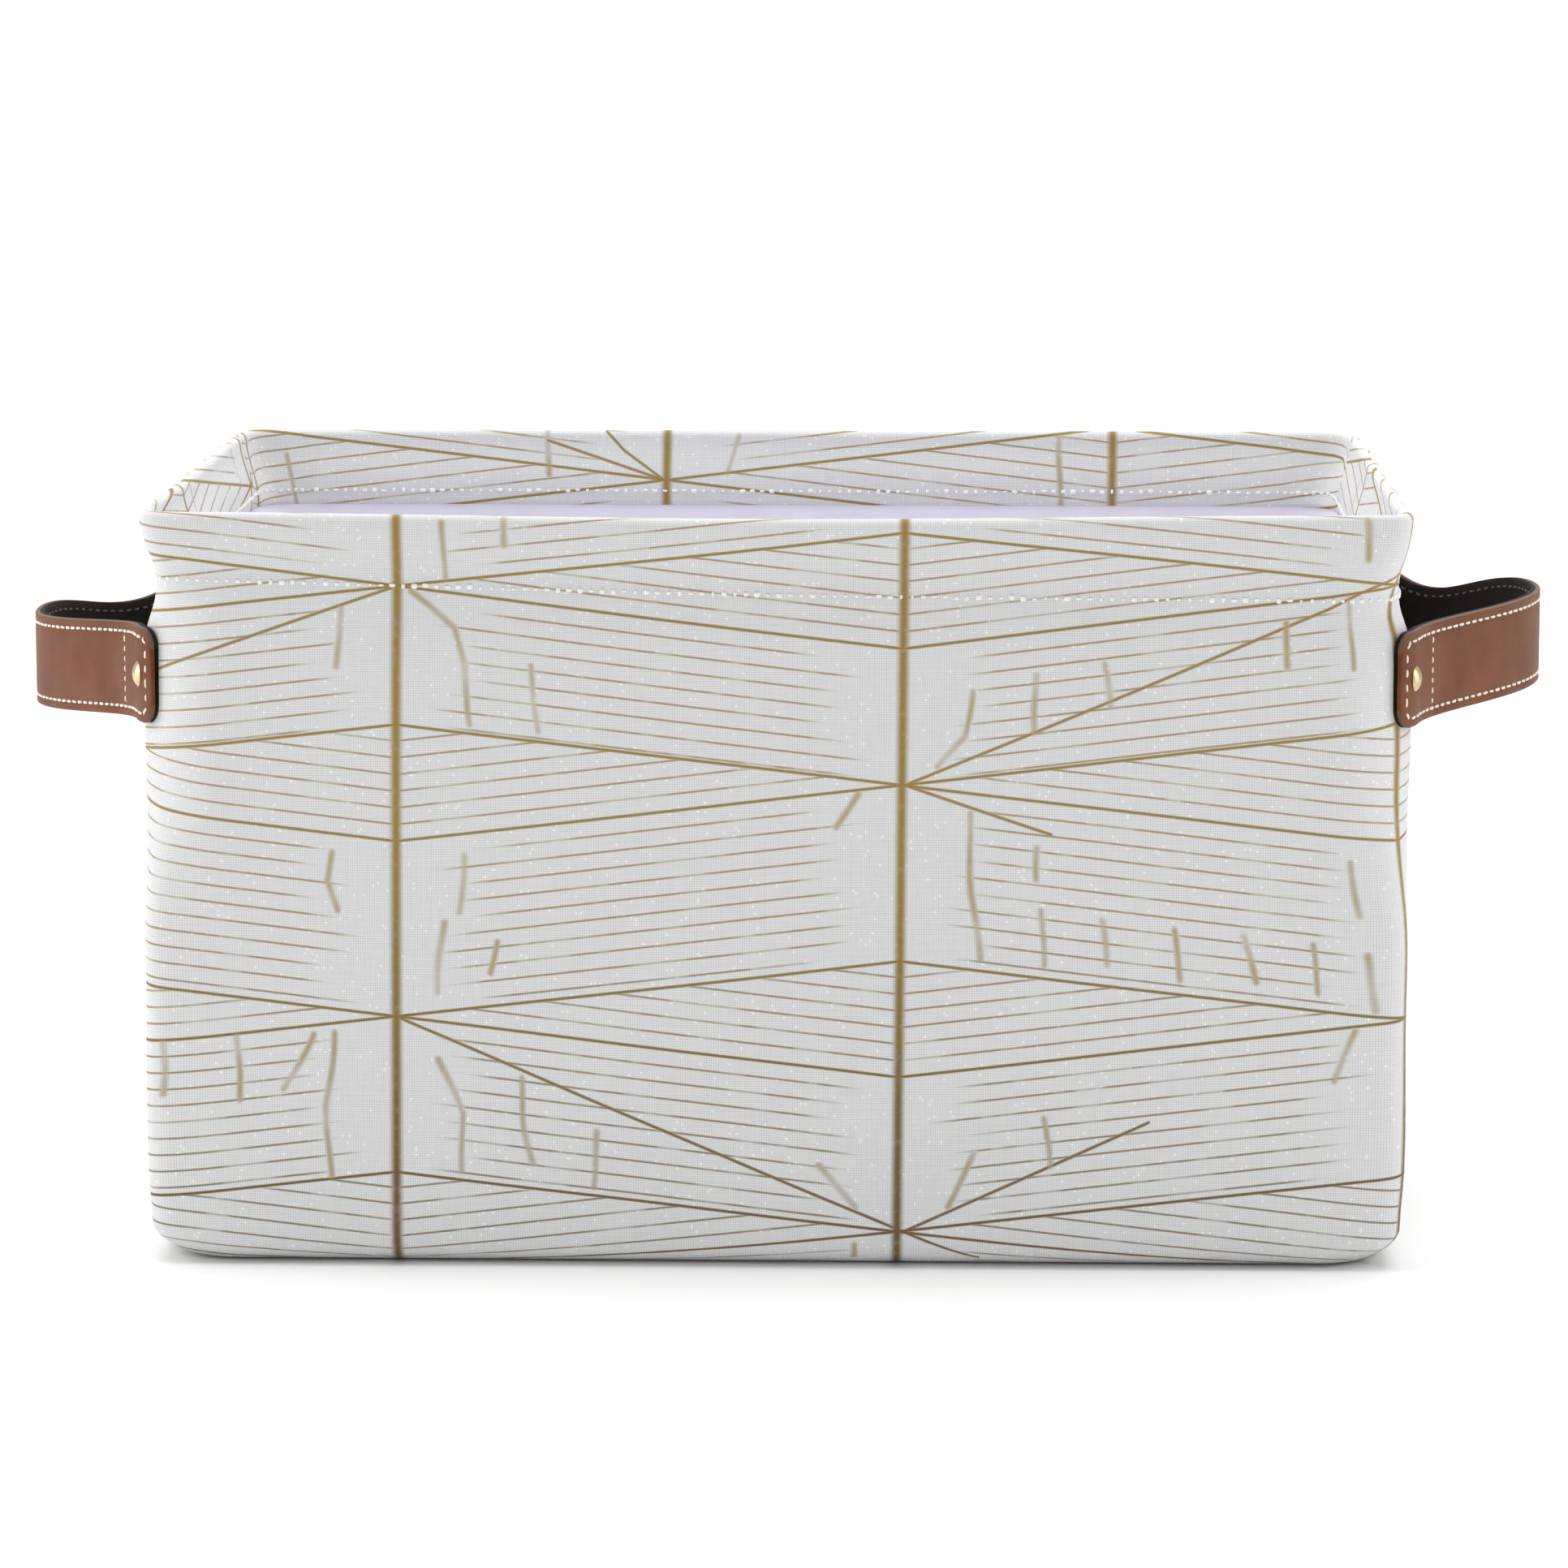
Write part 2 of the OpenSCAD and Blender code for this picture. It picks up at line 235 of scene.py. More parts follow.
# %% [markdown]
# ## Turning grids of points into cloth
# Cloth has two faces and an edge. A single sheet with Blender's Solidify modifier would be
# quicker to make, but its inner face would not keep to the layer inside it. So a piece is drawn
# as one grid of points for its outer face and one for its inner face, joined round the rim, which
# gives a closed solid as thin as real cloth. Flat coordinates, in metres, are stored with it, so
# that the print and the weave follow the cloth round corners and folds.

# %% Build closed pieces from grids
def solid(name, points, faces, flat=None):
    """Smooth mesh object. flat gives each face corner's place on the flat cloth."""
    mesh = bpy.data.meshes.new(name)
    mesh.from_pydata([tuple(p) for p in points], [], [tuple(f) for f in faces])
    if flat is not None:
        layer = mesh.uv_layers.new(name="cloth")
        layer.data.foreach_set("uv", np.asarray(flat, np.float32).ravel())
    mesh.polygons.foreach_set("use_smooth", [True] * len(mesh.polygons))
    mesh.update()
    piece = bpy.data.objects.new(name, mesh)
    bpy.context.scene.collection.objects.link(piece)
    return piece


def grid_faces(rows, columns, start=0, flip=False):
    """Squares between the points of a grid."""
    r, c = np.meshgrid(np.arange(rows - 1), np.arange(columns - 1), indexing="ij")
    a = (start + r * columns + c).ravel()
    quad = np.stack([a, a + 1, a + columns + 1, a + columns], axis=1)
    return quad[:, ::-1] if flip else quad


def cloth(name, outer, inner, flat):
    """Closed piece between two grids. flat gives the places of face corners on the cloth."""
    rows, columns = outer.shape[:2]
    half = rows * columns
    edge = np.concatenate([np.arange(columns), np.arange(1, rows) * columns + columns - 1,
                           (rows - 1) * columns + np.arange(columns - 2, -1, -1),
                           np.arange(rows - 2, 0, -1) * columns])
    after = np.roll(edge, -1)
    border = np.stack([after, edge, edge + half, after + half], axis=1)
    faces = np.concatenate([grid_faces(rows, columns), grid_faces(rows, columns, half, True),
                            border])
    points = np.concatenate([outer.reshape(-1, 3), inner.reshape(-1, 3)])
    return solid(name, points, faces, flat(faces % half))


def measure(piece):
    """Print what was made, and how big it is."""
    size = Vector(piece.dimensions) * 1e3
    print(f"{piece.name}: {len(piece.data.polygons)} faces, "
          f"{size.x:.0f} x {size.y:.0f} x {size.z:.0f} mm")


print("a grid of 10 by 20 points makes", len(grid_faces(10, 20)), "squares")

# %% [markdown]
# ## Brushes for the materials
# A finish is a chain of small sums on places and distances. The nodes could be laid out one by
# one, but the print alone needs hundreds. A few short helpers wire them instead, so that each
# line of code is one line of plain arithmetic, and a long chain stays readable.

# %% Make the material helpers
class Finish:
    """A material with a surface shader, and short ways of wiring nodes into it."""

    def __init__(self, name):
        self.material = bpy.data.materials.new(name)
        self.material.use_nodes = True
        self.tree = self.material.node_tree
        self.surface = self.tree.nodes["Principled BSDF"]

    def add(self, kind, **settings):
        """A new node of this kind."""
        node = self.tree.nodes.new("ShaderNode" + kind)
        for key, value in settings.items():
            setattr(node, key, value)
        return node

    def feed(self, socket, value):
        """Link another node's output to a socket, or set a plain value there."""
        if isinstance(value, bpy.types.NodeSocket):
            self.tree.links.new(value, socket)
        else:
            socket.default_value = value

    def sum(self, operation, *values):
        node = self.add("Math", operation=operation)
        for socket, value in zip(node.inputs, values):
            self.feed(socket, value)
        return node.outputs[0]

    def vector(self, operation, *values, out=0):
        node = self.add("VectorMath", operation=operation)
        for socket, value in zip(node.inputs, values):
            self.feed(socket, value)
        return node.outputs[out]

    def ramp(self, value, start, end, low=0.0, high=1.0):
        """low where the value is at start, high where it is at end, and smooth between."""
        node = self.add("MapRange", interpolation_type="SMOOTHSTEP")
        for socket, given in zip(node.inputs, (value, start, end, low, high)):
            self.feed(socket, given)
        return node.outputs[0]

    def mix(self, share, first, second, blend="MIX"):
        """A colour between the first, at share 0, and the second, at share 1."""
        node = self.add("Mix", data_type="RGBA", blend_type=blend)
        self.feed(node.inputs[0], share)
        self.feed(node.inputs[6], first if isinstance(first, bpy.types.NodeSocket)
                  else (*first, 1))
        self.feed(node.inputs[7], second if isinstance(second, bpy.types.NodeSocket)
                  else (*second, 1))
        return node.outputs[2]

    def noise(self, place, scale, detail=2.0, roughness=0.5):
        node = self.add("TexNoise")
        self.feed(node.inputs["Vector"], place)
        node.inputs["Scale"].default_value = scale
        node.inputs["Detail"].default_value = detail
        node.inputs["Roughness"].default_value = roughness
        return node.outputs[0]

    def in_millimetres(self, place):
        """The same place, counted in millimetres."""
        node = self.add("VectorMath", operation="SCALE")
        self.feed(node.inputs[0], place)
        node.inputs["Scale"].default_value = 1000
        return node.outputs[0]

    def on_cloth(self):
        """Places on the flat cloth."""
        return self.in_millimetres(self.add("UVMap", uv_map="cloth").outputs[0])

    def on_piece(self):
        """Places in the space round the piece."""
        return self.in_millimetres(self.add("TexCoord").outputs["Object"])

    def across_and_up(self, flat):
        """The two numbers of a place on the flat cloth."""
        node = self.add("SeparateXYZ")
        self.feed(node.inputs[0], flat)
        return node.outputs[0], node.outputs[1]

    def bump(self, height, strength, distance):
        """Small relief that only the light sees."""
        node = self.add("Bump")
        node.inputs["Strength"].default_value = strength
        node.inputs["Distance"].default_value = distance
        self.feed(node.inputs["Height"], height)
        self.tree.links.new(node.outputs[0], self.surface.inputs["Normal"])

    def set(self, **values):
        """Set or link the surface shader's own sockets."""
        for name, value in values.items():
            self.feed(self.surface.inputs[name.replace("_", " ")], value)
        return self


def wear(piece, finish):
    piece.data.materials.clear()
    piece.data.materials.append(finish.material)


def fit(piece, node, finish, body="bin"):
    """Dress a piece, let it ride on its body, and let it stand for its CAD node."""
    wear(piece, finish)
    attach(piece, body)
    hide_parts(node)
    measure(piece)
    return piece


# %% [markdown]
# ## Printed canvas
# The cloth is a plain weave of off-white thread with a gold line drawing. Upright gold lines
# stand 158 mm apart. From points on them, fans of thin ruled lines run to the next line and
# form long flat diamonds, and the ruling between the diamonds fades out before the uprights, as
# if brushed. Short soft strokes are scattered among them. A painted picture would blur from
# close by, so the drawing is worked out from distances on the flat cloth, in millimetres.

# %% Draw the ruled pattern
# One of the upright lines, how far apart they are, and their slight lean
column_place, column_gap = -118.5, 158.25
column_lean, leans_about = 0.0085, 111.0
# Topmost fan point on every other upright and on those between, and the drop to the next one
fan_a, drop_a = 217.3, 136.4
fan_b, drop_b = 155.3, 143.0
# How far a fan's lines rise or fall from one upright to the next, and the gap between thin lines
fan_rise, ruling = 18.5, 5.3
# How far from an upright the ruling between the diamonds stops, and how softly
first_stop, stop_spread, fade_before, fade_after = 9.0, 16.0, -1.0, 13.0


def line(f, distance, half, soft):
    """1 on the line and 0 beside it."""
    return f.ramp(distance, half - soft, half + soft, 1.0, 0.0)


def ruled_pattern(f, across, up, patches):
    """Masks of the upright lines, the strong fan lines and the thin ruling."""
    leant = f.sum("MULTIPLY", f.sum("SUBTRACT", up, leans_about), column_lean)
    place = f.sum("DIVIDE", f.sum("SUBTRACT", f.sum("SUBTRACT", across, leant), column_place),
                  column_gap)
    share = f.sum("PINGPONG", place, 1.0)
    from_column = f.sum("MULTIPLY", f.sum("PINGPONG", place, 0.5), column_gap)
    rise_a = f.sum("MULTIPLY", share, fan_rise)
    rise_b = f.sum("SUBTRACT", fan_rise, rise_a)
    # How far this place lies below the fan points, and below the fans' lines
    below_a, below_b = f.sum("SUBTRACT", fan_a, up), f.sum("SUBTRACT", fan_b, up)
    upper_a, upper_b = f.sum("ADD", below_a, rise_a), f.sum("ADD", below_b, rise_b)
    turn_a = f.sum("FLOOR", f.sum("DIVIDE", upper_a, drop_a))
    turn_b = f.sum("FLOOR", f.sum("DIVIDE", upper_b, drop_b))
    in_a = f.sum("GREATER_THAN", f.sum("SUBTRACT", turn_a, turn_b), 0.5)
    past_a = f.sum("SUBTRACT", f.sum("SUBTRACT", below_a, rise_a),
                   f.sum("MULTIPLY", turn_a, drop_a))
    past_b = f.sum("SUBTRACT", f.sum("SUBTRACT", below_b, rise_b),
                   f.sum("MULTIPLY", turn_b, drop_b))
    past = f.sum("ADD", f.sum("MULTIPLY", in_a, past_a),
                 f.sum("MULTIPLY", f.sum("SUBTRACT", 1.0, in_a), past_b))
    fan = f.sum("MINIMUM", f.sum("PINGPONG", upper_a, drop_a / 2),
                f.sum("PINGPONG", upper_b, drop_b / 2))
    fan = f.sum("MINIMUM", fan, f.sum("ABSOLUTE", past))
    thin = f.sum("PINGPONG", past, ruling / 2)
    # Between the diamonds each ruled line stops at its own distance from the upright
    number = f.add("TexWhiteNoise", noise_dimensions="2D")
    both = f.add("CombineXYZ")
    f.feed(both.inputs[0], f.sum("ROUND", f.sum("DIVIDE", past, ruling)))
    f.feed(both.inputs[1], f.sum("ADD", f.sum("FLOOR", place), f.sum("MULTIPLY", turn_a, 7.0)))
    f.feed(number.inputs["Vector"], both.outputs[0])
    chance = number.outputs[0]
    stop = f.sum("ADD", f.sum("MULTIPLY", chance, stop_spread), first_stop)
    reach = f.ramp(f.sum("SUBTRACT", from_column, stop), fade_before, fade_after)
    band = f.sum("GREATER_THAN", past, 0.5)
    shown = f.sum("ADD", f.sum("SUBTRACT", 1.0, band), f.sum("MULTIPLY", band, reach))
    blotch = f.ramp(patches, 0.36, 0.52, 0.5, 1.0)
    thin = f.sum("MULTIPLY", line(f, thin, 0.32, 0.18), f.sum("MULTIPLY", shown, blotch))
    return line(f, from_column, 1.5, 1.25), line(f, fan, 0.48, 0.26), thin


print(f"upright lines {column_gap} mm apart, thin lines {ruling} mm apart")

# %% [markdown]
# ## Brush strokes
# The loose strokes follow no rule, so each is given by its two ends, in millimetres across and up
# the flat cloth. A stroke is the set of places near a straight run, and the nearest one counts.

# %% Draw the brushed strokes
long_strokes = (
    ((-118.9, 80.9), (41.0, 12.3)), ((41.1, 155.3), (197.6, 220.9)),
    ((-117.6, 217.3), (-207.0, 186.0)), ((41.1, 155.3), (86.8, 139.8)),
    ((41.0, 12.3), (118.0, 48.1)), ((41.0, 12.3), (64.6, 1.5)),
    ((514.5, 217.3), (472.9, 231.0)), ((514.5, 217.3), (500.3, 227.4)),
    ((500.3, 227.4), (494.0, 234.1)),
)
soft_strokes = (
    ((-103.0, 238.1), (-103.1, 219.9)), ((-84.0, 240.0), (-84.1, 231.1)),
    ((-136.2, 210.1), (-136.4, 192.2)), ((-114.5, 216.0), (-99.5, 203.8)),
    ((-99.5, 203.8), (-96.5, 192.4)), ((-96.5, 192.4), (-95.1, 173.9)),
    ((-75.5, 192.4), (-73.0, 171.5)), ((62.5, 185.3), (60.0, 171.2)),
    ((60.0, 171.2), (51.2, 161.0)), ((81.9, 190.5), (81.5, 172.6)),
    ((102.8, 193.6), (104.4, 180.4)), ((160.6, 206.0), (160.8, 192.8)),
    ((180.1, 213.7), (180.4, 192.1)), ((184.0, 239.0), (185.4, 225.9)),
    ((27.7, 151.9), (19.6, 142.1)), ((61.9, 146.9), (62.0, 121.2)),
    ((62.0, 121.2), (63.4, 100.5)), ((83.0, 135.4), (83.1, 125.9)),
    ((83.6, 116.1), (84.3, 98.8)), ((104.0, 112.4), (105.1, 98.2)),
    ((125.1, 109.9), (127.8, 93.9)), ((146.6, 107.4), (149.9, 92.7)),
    ((168.2, 104.9), (170.5, 89.7)), ((180.5, 130.8), (182.5, 114.0)),
    ((184.2, 101.1), (188.1, 83.8)), ((183.1, 77.9), (176.4, 62.3)),
    ((-138.3, 133.1), (-140.2, 124.1)), ((-140.2, 124.1), (-137.2, 115.0)),
    ((-97.0, 132.0), (-99.7, 114.7)), ((-104.1, 111.3), (-105.5, 88.8)),
    ((-87.0, 104.9), (-89.6, 94.6)), ((-145.4, 75.5), (-154.6, 57.7)),
    ((-169.2, 74.6), (-168.3, 53.7)), ((-190.9, 71.9), (-191.1, 54.4)),
    ((-138.4, 76.1), (-141.0, 52.6)), ((-141.0, 52.6), (-139.5, 29.8)),
    ((-105.7, 67.2), (-98.2, 50.2)), ((-98.2, 50.2), (-97.8, 31.9)),
    ((-78.9, 62.1), (-76.5, 34.1)), ((-55.1, 44.0), (-56.7, 26.4)),
    ((14.6, 33.9), (26.1, 20.4)), ((64.5, 38.1), (54.3, 20.5)),
    ((84.8, 48.7), (87.0, 33.8)), ((24.9, 7.8), (24.9, 2.0)),
    ((472.9, 236.0), (472.9, 219.0)), ((540.5, 232.0), (537.5, 220.0)),
    ((654.8, 232.2), (654.9, 205.0)), ((378.0, 226.0), (381.0, 208.0)),
)


def nearest_stroke(f, place, strokes):
    """Distance from a place to the nearest of these straight strokes."""
    nearest = None
    for start, end in strokes:
        run = np.subtract(end, start)
        from_start = f.vector("SUBTRACT", place, (*start, 0))
        share = f.vector("DOT_PRODUCT", from_start, (*(run / (run @ run)), 0), out=1)
        clamp = f.add("Clamp")
        f.feed(clamp.inputs[0], share)
        scaled = f.add("VectorMath", operation="SCALE")
        scaled.inputs[0].default_value = (*run, 0)
        f.feed(scaled.inputs["Scale"], clamp.outputs[0])
        distance = f.vector("DISTANCE", from_start, scaled.outputs[0], out=1)
        nearest = distance if nearest is None else f.sum("MINIMUM", nearest, distance)
    return nearest


print(len(long_strokes), "long strokes and", len(soft_strokes), "soft ones")

# %% [markdown]
# ## Weave
# Real canvas is a grid of threads that go over and under each other. A bump alone would leave it
# flat in soft light, so the hollows between threads are painted darker as well, as painted shade.
# Slubs, which are thicker stretches of thread, keep the cloth from looking printed by a machine.
# A few threads are glossier, and are also painted near white as a painted highlight.

# %% Weave and print the canvas
thread_gap = 0.75
before_artwork, artwork_width = 230.0, 6 * column_gap
# The second cloth colour is only for the glints, a painted highlight on a few threads
plain_cloth, painted_highlight_white = (0.762, 0.767, 0.765), (0.95, 0.95, 0.95)
# The low gold is painted shade: the drawing is painted darker towards the bottom of the wall
painted_shade_gold, high_gold = (0.105, 0.048, 0.006), (0.285, 0.182, 0.030)
bright_gold, brushed_gold = (0.39, 0.27, 0.06), (0.43, 0.315, 0.13)


def weave_height(f, across, up, gap):
    """Little pillows where threads cross, with a hole at each of their corners."""
    warp = f.sum("SINE", f.sum("MULTIPLY", across, math.pi / gap))
    weft = f.sum("SINE", f.sum("MULTIPLY", up, math.pi / gap))
    return f.sum("ABSOLUTE", f.sum("MULTIPLY", warp, weft))


def canvas_finish():
    """Off-white woven cloth with the gold drawing on it, the gold painted darker low down as
    shade.
    """
    f = Finish("printed_canvas")
    flat = f.on_cloth()
    across, up = f.across_and_up(flat)
    patches = f.noise(flat, 0.055, 3.0)
    upright, fan, thin = ruled_pattern(f, across, up, patches)
    wrapped = f.sum("ADD", across, before_artwork)
    wrapped = f.sum("SUBTRACT", f.sum("FLOORED_MODULO", wrapped, artwork_width), before_artwork)
    drawn = f.add("CombineXYZ")
    f.feed(drawn.inputs[0], wrapped)
    f.feed(drawn.inputs[1], up)
    # Brush strokes are never quite straight
    sway = f.add("TexNoise")
    f.feed(sway.inputs["Vector"], flat)
    sway.inputs["Scale"].default_value = 0.035
    sway.inputs["Detail"].default_value = 0.0
    swayed = f.vector("ADD", drawn.outputs[0], f.vector(
        "MULTIPLY", f.vector("SUBTRACT", sway.outputs[1], (0.5, 0.5, 0.5)), (5.0, 2.0, 0.0)))
    brushed = line(f, nearest_stroke(f, swayed, soft_strokes), 0.85, 0.85)
    faint = f.ramp(f.noise(flat, 0.06, 1.0), 0.3, 0.65, 0.42, 0.85)
    brushed = f.sum("MULTIPLY", brushed, faint)
    long = line(f, nearest_stroke(f, drawn.outputs[0], long_strokes), 0.5, 0.28)
    ink = f.sum("MULTIPLY", upright, f.ramp(f.noise(flat, 0.3, 2.0), 0.2, 0.5, 0.82, 0.96))
    for mask, strength in ((fan, 0.95), (thin, 0.78), (brushed, 1.0), (long, 0.92)):
        ink = f.sum("MAXIMUM", ink, f.sum("MULTIPLY", mask, strength))
    weave = weave_height(f, across, up, thread_gap)
    slub = f.noise(f.vector("MULTIPLY", flat, (1.0, 0.12, 1.0)), 0.9, 2.0)
    slub_2 = f.noise(f.vector("MULTIPLY", flat, (0.12, 1.0, 1.0)), 0.9, 2.0)
    uneven = f.sum("ADD", slub, slub_2)
    slub_tone_and_painted_hollow_shade = f.ramp(uneven, 0.75, 1.25, 0.98, 1.015)
    # Painted shade: the hollows between threads are painted darker, down to 0.79 of the cloth's
    # colour
    slub_tone_and_painted_hollow_shade = f.sum("MULTIPLY", slub_tone_and_painted_hollow_shade, f.ramp(weave, 0.0, 0.6, 0.79, 1.0))
    cell = f.add("TexWhiteNoise", noise_dimensions="2D")
    threads = f.vector("DIVIDE", flat, (thread_gap, thread_gap, 1.0))
    f.feed(cell.inputs["Vector"], f.vector("FLOOR", threads))
    # A few threads are glossier, and are also painted near white: a painted highlight
    glossy_thread_painted_glint = f.sum("GREATER_THAN", cell.outputs[0], 0.988)
    shade = f.add("CombineColor")
    for socket in shade.inputs:
        f.feed(socket, slub_tone_and_painted_hollow_shade)
    plain = f.mix(1.0, plain_cloth, shade.outputs[0], "MULTIPLY")
    plain = f.mix(f.sum("MULTIPLY", glossy_thread_painted_glint, 0.6), plain, painted_highlight_white)
    # Painted shade: the gold darkens from the top of the artwork down to the floor
    gold = f.mix(f.ramp(up, 0.0, 150.0), painted_shade_gold, high_gold)
    gold = f.mix(f.sum("MULTIPLY", f.noise(flat, 1.3, 2.0), 0.25), gold, bright_gold)
    gold = f.mix(brushed, gold, brushed_gold)
    f.set(Base_Color=f.mix(ink, plain, gold),
          Roughness=f.sum("SUBTRACT", 0.82, f.sum("MULTIPLY", glossy_thread_painted_glint, 0.3)),
          Sheen_Weight=0.05, Sheen_Roughness=0.5, Specular_IOR_Level=0.15)
    height = f.sum("ADD", weave, f.sum("MULTIPLY", uneven, 0.5))
    f.bump(height, 0.35, 0.25 * MM)
    return f


printed_canvas = canvas_finish()
print("printed canvas:", len(printed_canvas.tree.nodes), "nodes")

# %% [markdown]
# ## The four canvas panels
# On the real bin the front and back panels wrap round the upright corners and are sewn to two
# flat end panels. Each runs from the base seam, round the foot, up the wall, over the wire and
# down inside as the facing. One box with a folded edge would be simpler, but each panel is cut and
# sewn by itself, so each is its own piece. Stations along its path are set close together at the
# foot, the stitch row and the fold, where the cloth turns quickly.

# %% Lay out the stations
foot_stations = [("foot", t) for t in np.linspace(0, math.pi / 2, 9)[:-1]]
wall_stations = [("wall", t) for t in np.concatenate([
    np.linspace(foot_radius, 0.196, 42), np.linspace(0.199, 0.207, 4),
    np.linspace(0.209, 0.224, 14), np.linspace(0.2265, fold_height, 6)])]
fold_stations = [("fold", t) for t in np.linspace(0, math.pi, 13)[1:-1]]
facing_stations = [("facing", t) for t in np.linspace(0, 1, 14)]
canvas_path = foot_stations + wall_stations + fold_stations + facing_stations
fold_top = next(i for i, (kind, t) in enumerate(canvas_path)
                if kind == "fold" and t > math.pi / 2 - 0.01)
# How far the artwork is moved up on the facing, and along on the back one, in millimetres
facing_shift, facing_artwork = -5.5, 561.4


def station(kind, t, depth, around):
    """How far in and how high the cloth is at this station, this deep below its outer face."""
    if kind == "foot":
        turn = foot_radius - depth
        return foot_radius - turn * math.sin(t), foot_radius - turn * math.cos(t)
    if kind == "wall":
        return depth, t
    if kind == "fold":
        turn = hem_radius - depth
        return hem_radius - turn * math.cos(t), fold_height + turn * math.sin(t)
    return 2 * hem_radius - depth, fold_height + (facing_end(around) - fold_height) * t


def layer_grid(path, around, depth):
    """Points of one face of a layer, a row for each station."""
    rows = []
    for kind, t in path:
        inset, z = station(kind, t, depth, around)
        rows.append(wall_point(around, inset, z * np.ones_like(around)))
    return np.stack(rows)


def steps_between(start, end, step):
    """Even places from start to end, about a step apart."""
    return np.linspace(start, end, max(2, round(abs(end - start) / step)) + 1)


def round_wall(start, end, step):
    """Places along a wall, closer together where it turns a corner."""
    bends = [side * bend + lap for bend in (turn_1, turn_2, turn_3, turn_4)
             for side in (-1, 1) for lap in (0, 2 * halfway)]
    stops = [start] + sorted(bend for bend in bends if start < bend < end) + [end]
    parts = []
    for first, last in zip(stops, stops[1:]):
        turning = np.sin(2 * outline((first + last) / 2)[4]) > 0.01
        parts.append(steps_between(first, last, step / 2 if turning else step)[:-1])
    return np.concatenate(parts + [[end]])


print(len(canvas_path), "stations from the base seam to the facing's edge")


# %% Sew the canvas panels
def cloth_height(kind, t):
    """Distance up the flat cloth, in metres."""
    if kind == "foot":
        return foot_radius * (1 - math.pi / 2 + t)
    if kind == "wall":
        return t
    return fold_height + hem_radius * t


def canvas_panel(name, around, facing_columns=None):
    """One panel. facing_columns is where its facing lies in the artwork, if not above the wall."""
    outer = layer_grid(canvas_path, around, 0.0)
    inner = layer_grid(canvas_path, around, canvas_thick)
    rows, columns = outer.shape[:2]
    plain = np.zeros((rows, columns, 2))
    turned = np.zeros((rows, columns, 2))
    inside = around if facing_columns is None else facing_columns
    for i, (kind, t) in enumerate(canvas_path):
        plain[i, :, 0] = around
        plain[i, :, 1] = cloth_height(kind, t) if kind != "facing" else fold_height
        turned[i, :, 0] = inside
        turned[i, :, 1] = outer[i, :, 2] + facing_shift * MM

    def flat(corners):
        row = (corners // columns).min(axis=1)[:, None]
        inside_face = (row >= fold_top)[..., None]
        p, t = plain.reshape(-1, 2)[corners], turned.reshape(-1, 2)[corners]
        return np.where(inside_face, t, p)

    piece = cloth(name.replace("panel", "canvas"), outer, inner, flat)
    fit(piece, name, printed_canvas)


weave_step = 2.6 * MM
back_around = round_wall(turn_3, 2 * halfway - turn_3, weave_step)
# Seen from the front, the back facing's artwork runs from left to right like the front's
back_facing = np.where(from_front(back_around) > 0, 1, -1)
back_facing = back_facing * (halfway - np.abs(from_front(back_around))) + facing_artwork * MM
canvas_panel("front_panel", round_wall(-seam, seam, weave_step))
canvas_panel("right_panel", round_wall(seam, turn_3, weave_step))
canvas_panel("left_panel", round_wall(-turn_3, -seam, weave_step))
canvas_panel("back_panel", back_around, back_facing)

# %% [markdown]
# ## Lining and padding
# The lining is a thin coated cloth in very pale lavender, and only a band of it shows under the
# facing. Between it and the canvas lies a sheet of foam padding in each wall. They could be left
# out where nothing shows, but a bin in a library is looked at from inside and in section too.
# They follow the same soft wall, each at its own depth, so a lining bellies with its canvas.

# %% Mix the lining and padding
fine_thread_gap = 0.45


def lining_finish():
    """Fine coated cloth, with soft creases where it gleams less."""
    f = Finish("lavender_lining")
    flat = f.on_cloth()
    weave = weave_height(f, *f.across_and_up(flat), fine_thread_gap)
    crease = f.noise(flat, 0.05, 4.0)
    f.set(Base_Color=f.mix(f.ramp(crease, 0.3, 0.7), (0.86, 0.845, 0.925), (0.90, 0.885, 0.955)),
          Roughness=f.ramp(crease, 0.2, 0.8, 0.5, 0.64), Sheen_Weight=0.2, Sheen_Roughness=0.4)
    f.bump(f.sum("ADD", f.sum("MULTIPLY", weave, 0.3), crease), 0.3, 0.3 * MM)
    return f


def foam_finish():
    """Padding with a crumbly surface of small cells."""
    f = Finish("foam_padding")
    place = f.on_piece()
    cells = f.add("TexVoronoi")
    f.feed(cells.inputs["Vector"], place)
    cells.inputs["Scale"].default_value = 1.4
    f.set(Base_Color=f.mix(cells.outputs[0], (0.86, 0.85, 0.8), (0.72, 0.71, 0.66)),
          Roughness=0.9)
    f.bump(cells.outputs[0], 0.5, 0.3 * MM)
    return f


lavender_lining, foam_padding = lining_finish(), foam_finish()
print(f"lining threads {fine_thread_gap} mm apart")

# %% Line the walls and lay in the padding
coarse_step = 4 * MM
around_walls = {
    "front": round_wall(-seam, seam, coarse_step),
    "right": round_wall(seam, turn_3, coarse_step),
    "left": round_wall(-turn_3, -seam, coarse_step),
    "back": round_wall(turn_3, 2 * halfway - turn_3, coarse_step)}
padded_walls = dict(around_walls, front=steps_between(-turn_1, turn_1, coarse_step),
                    back=steps_between(turn_4, 2 * halfway - turn_4, coarse_step))
lining_path = foot_stations + [("wall", t) for t in np.linspace(foot_radius, core_top, 46)]
padding_path = [("wall", t) for t in np.linspace(foot_radius, core_top, 46)]
lining_depth = canvas_thick + padding_thick
clear = 0.08 * MM


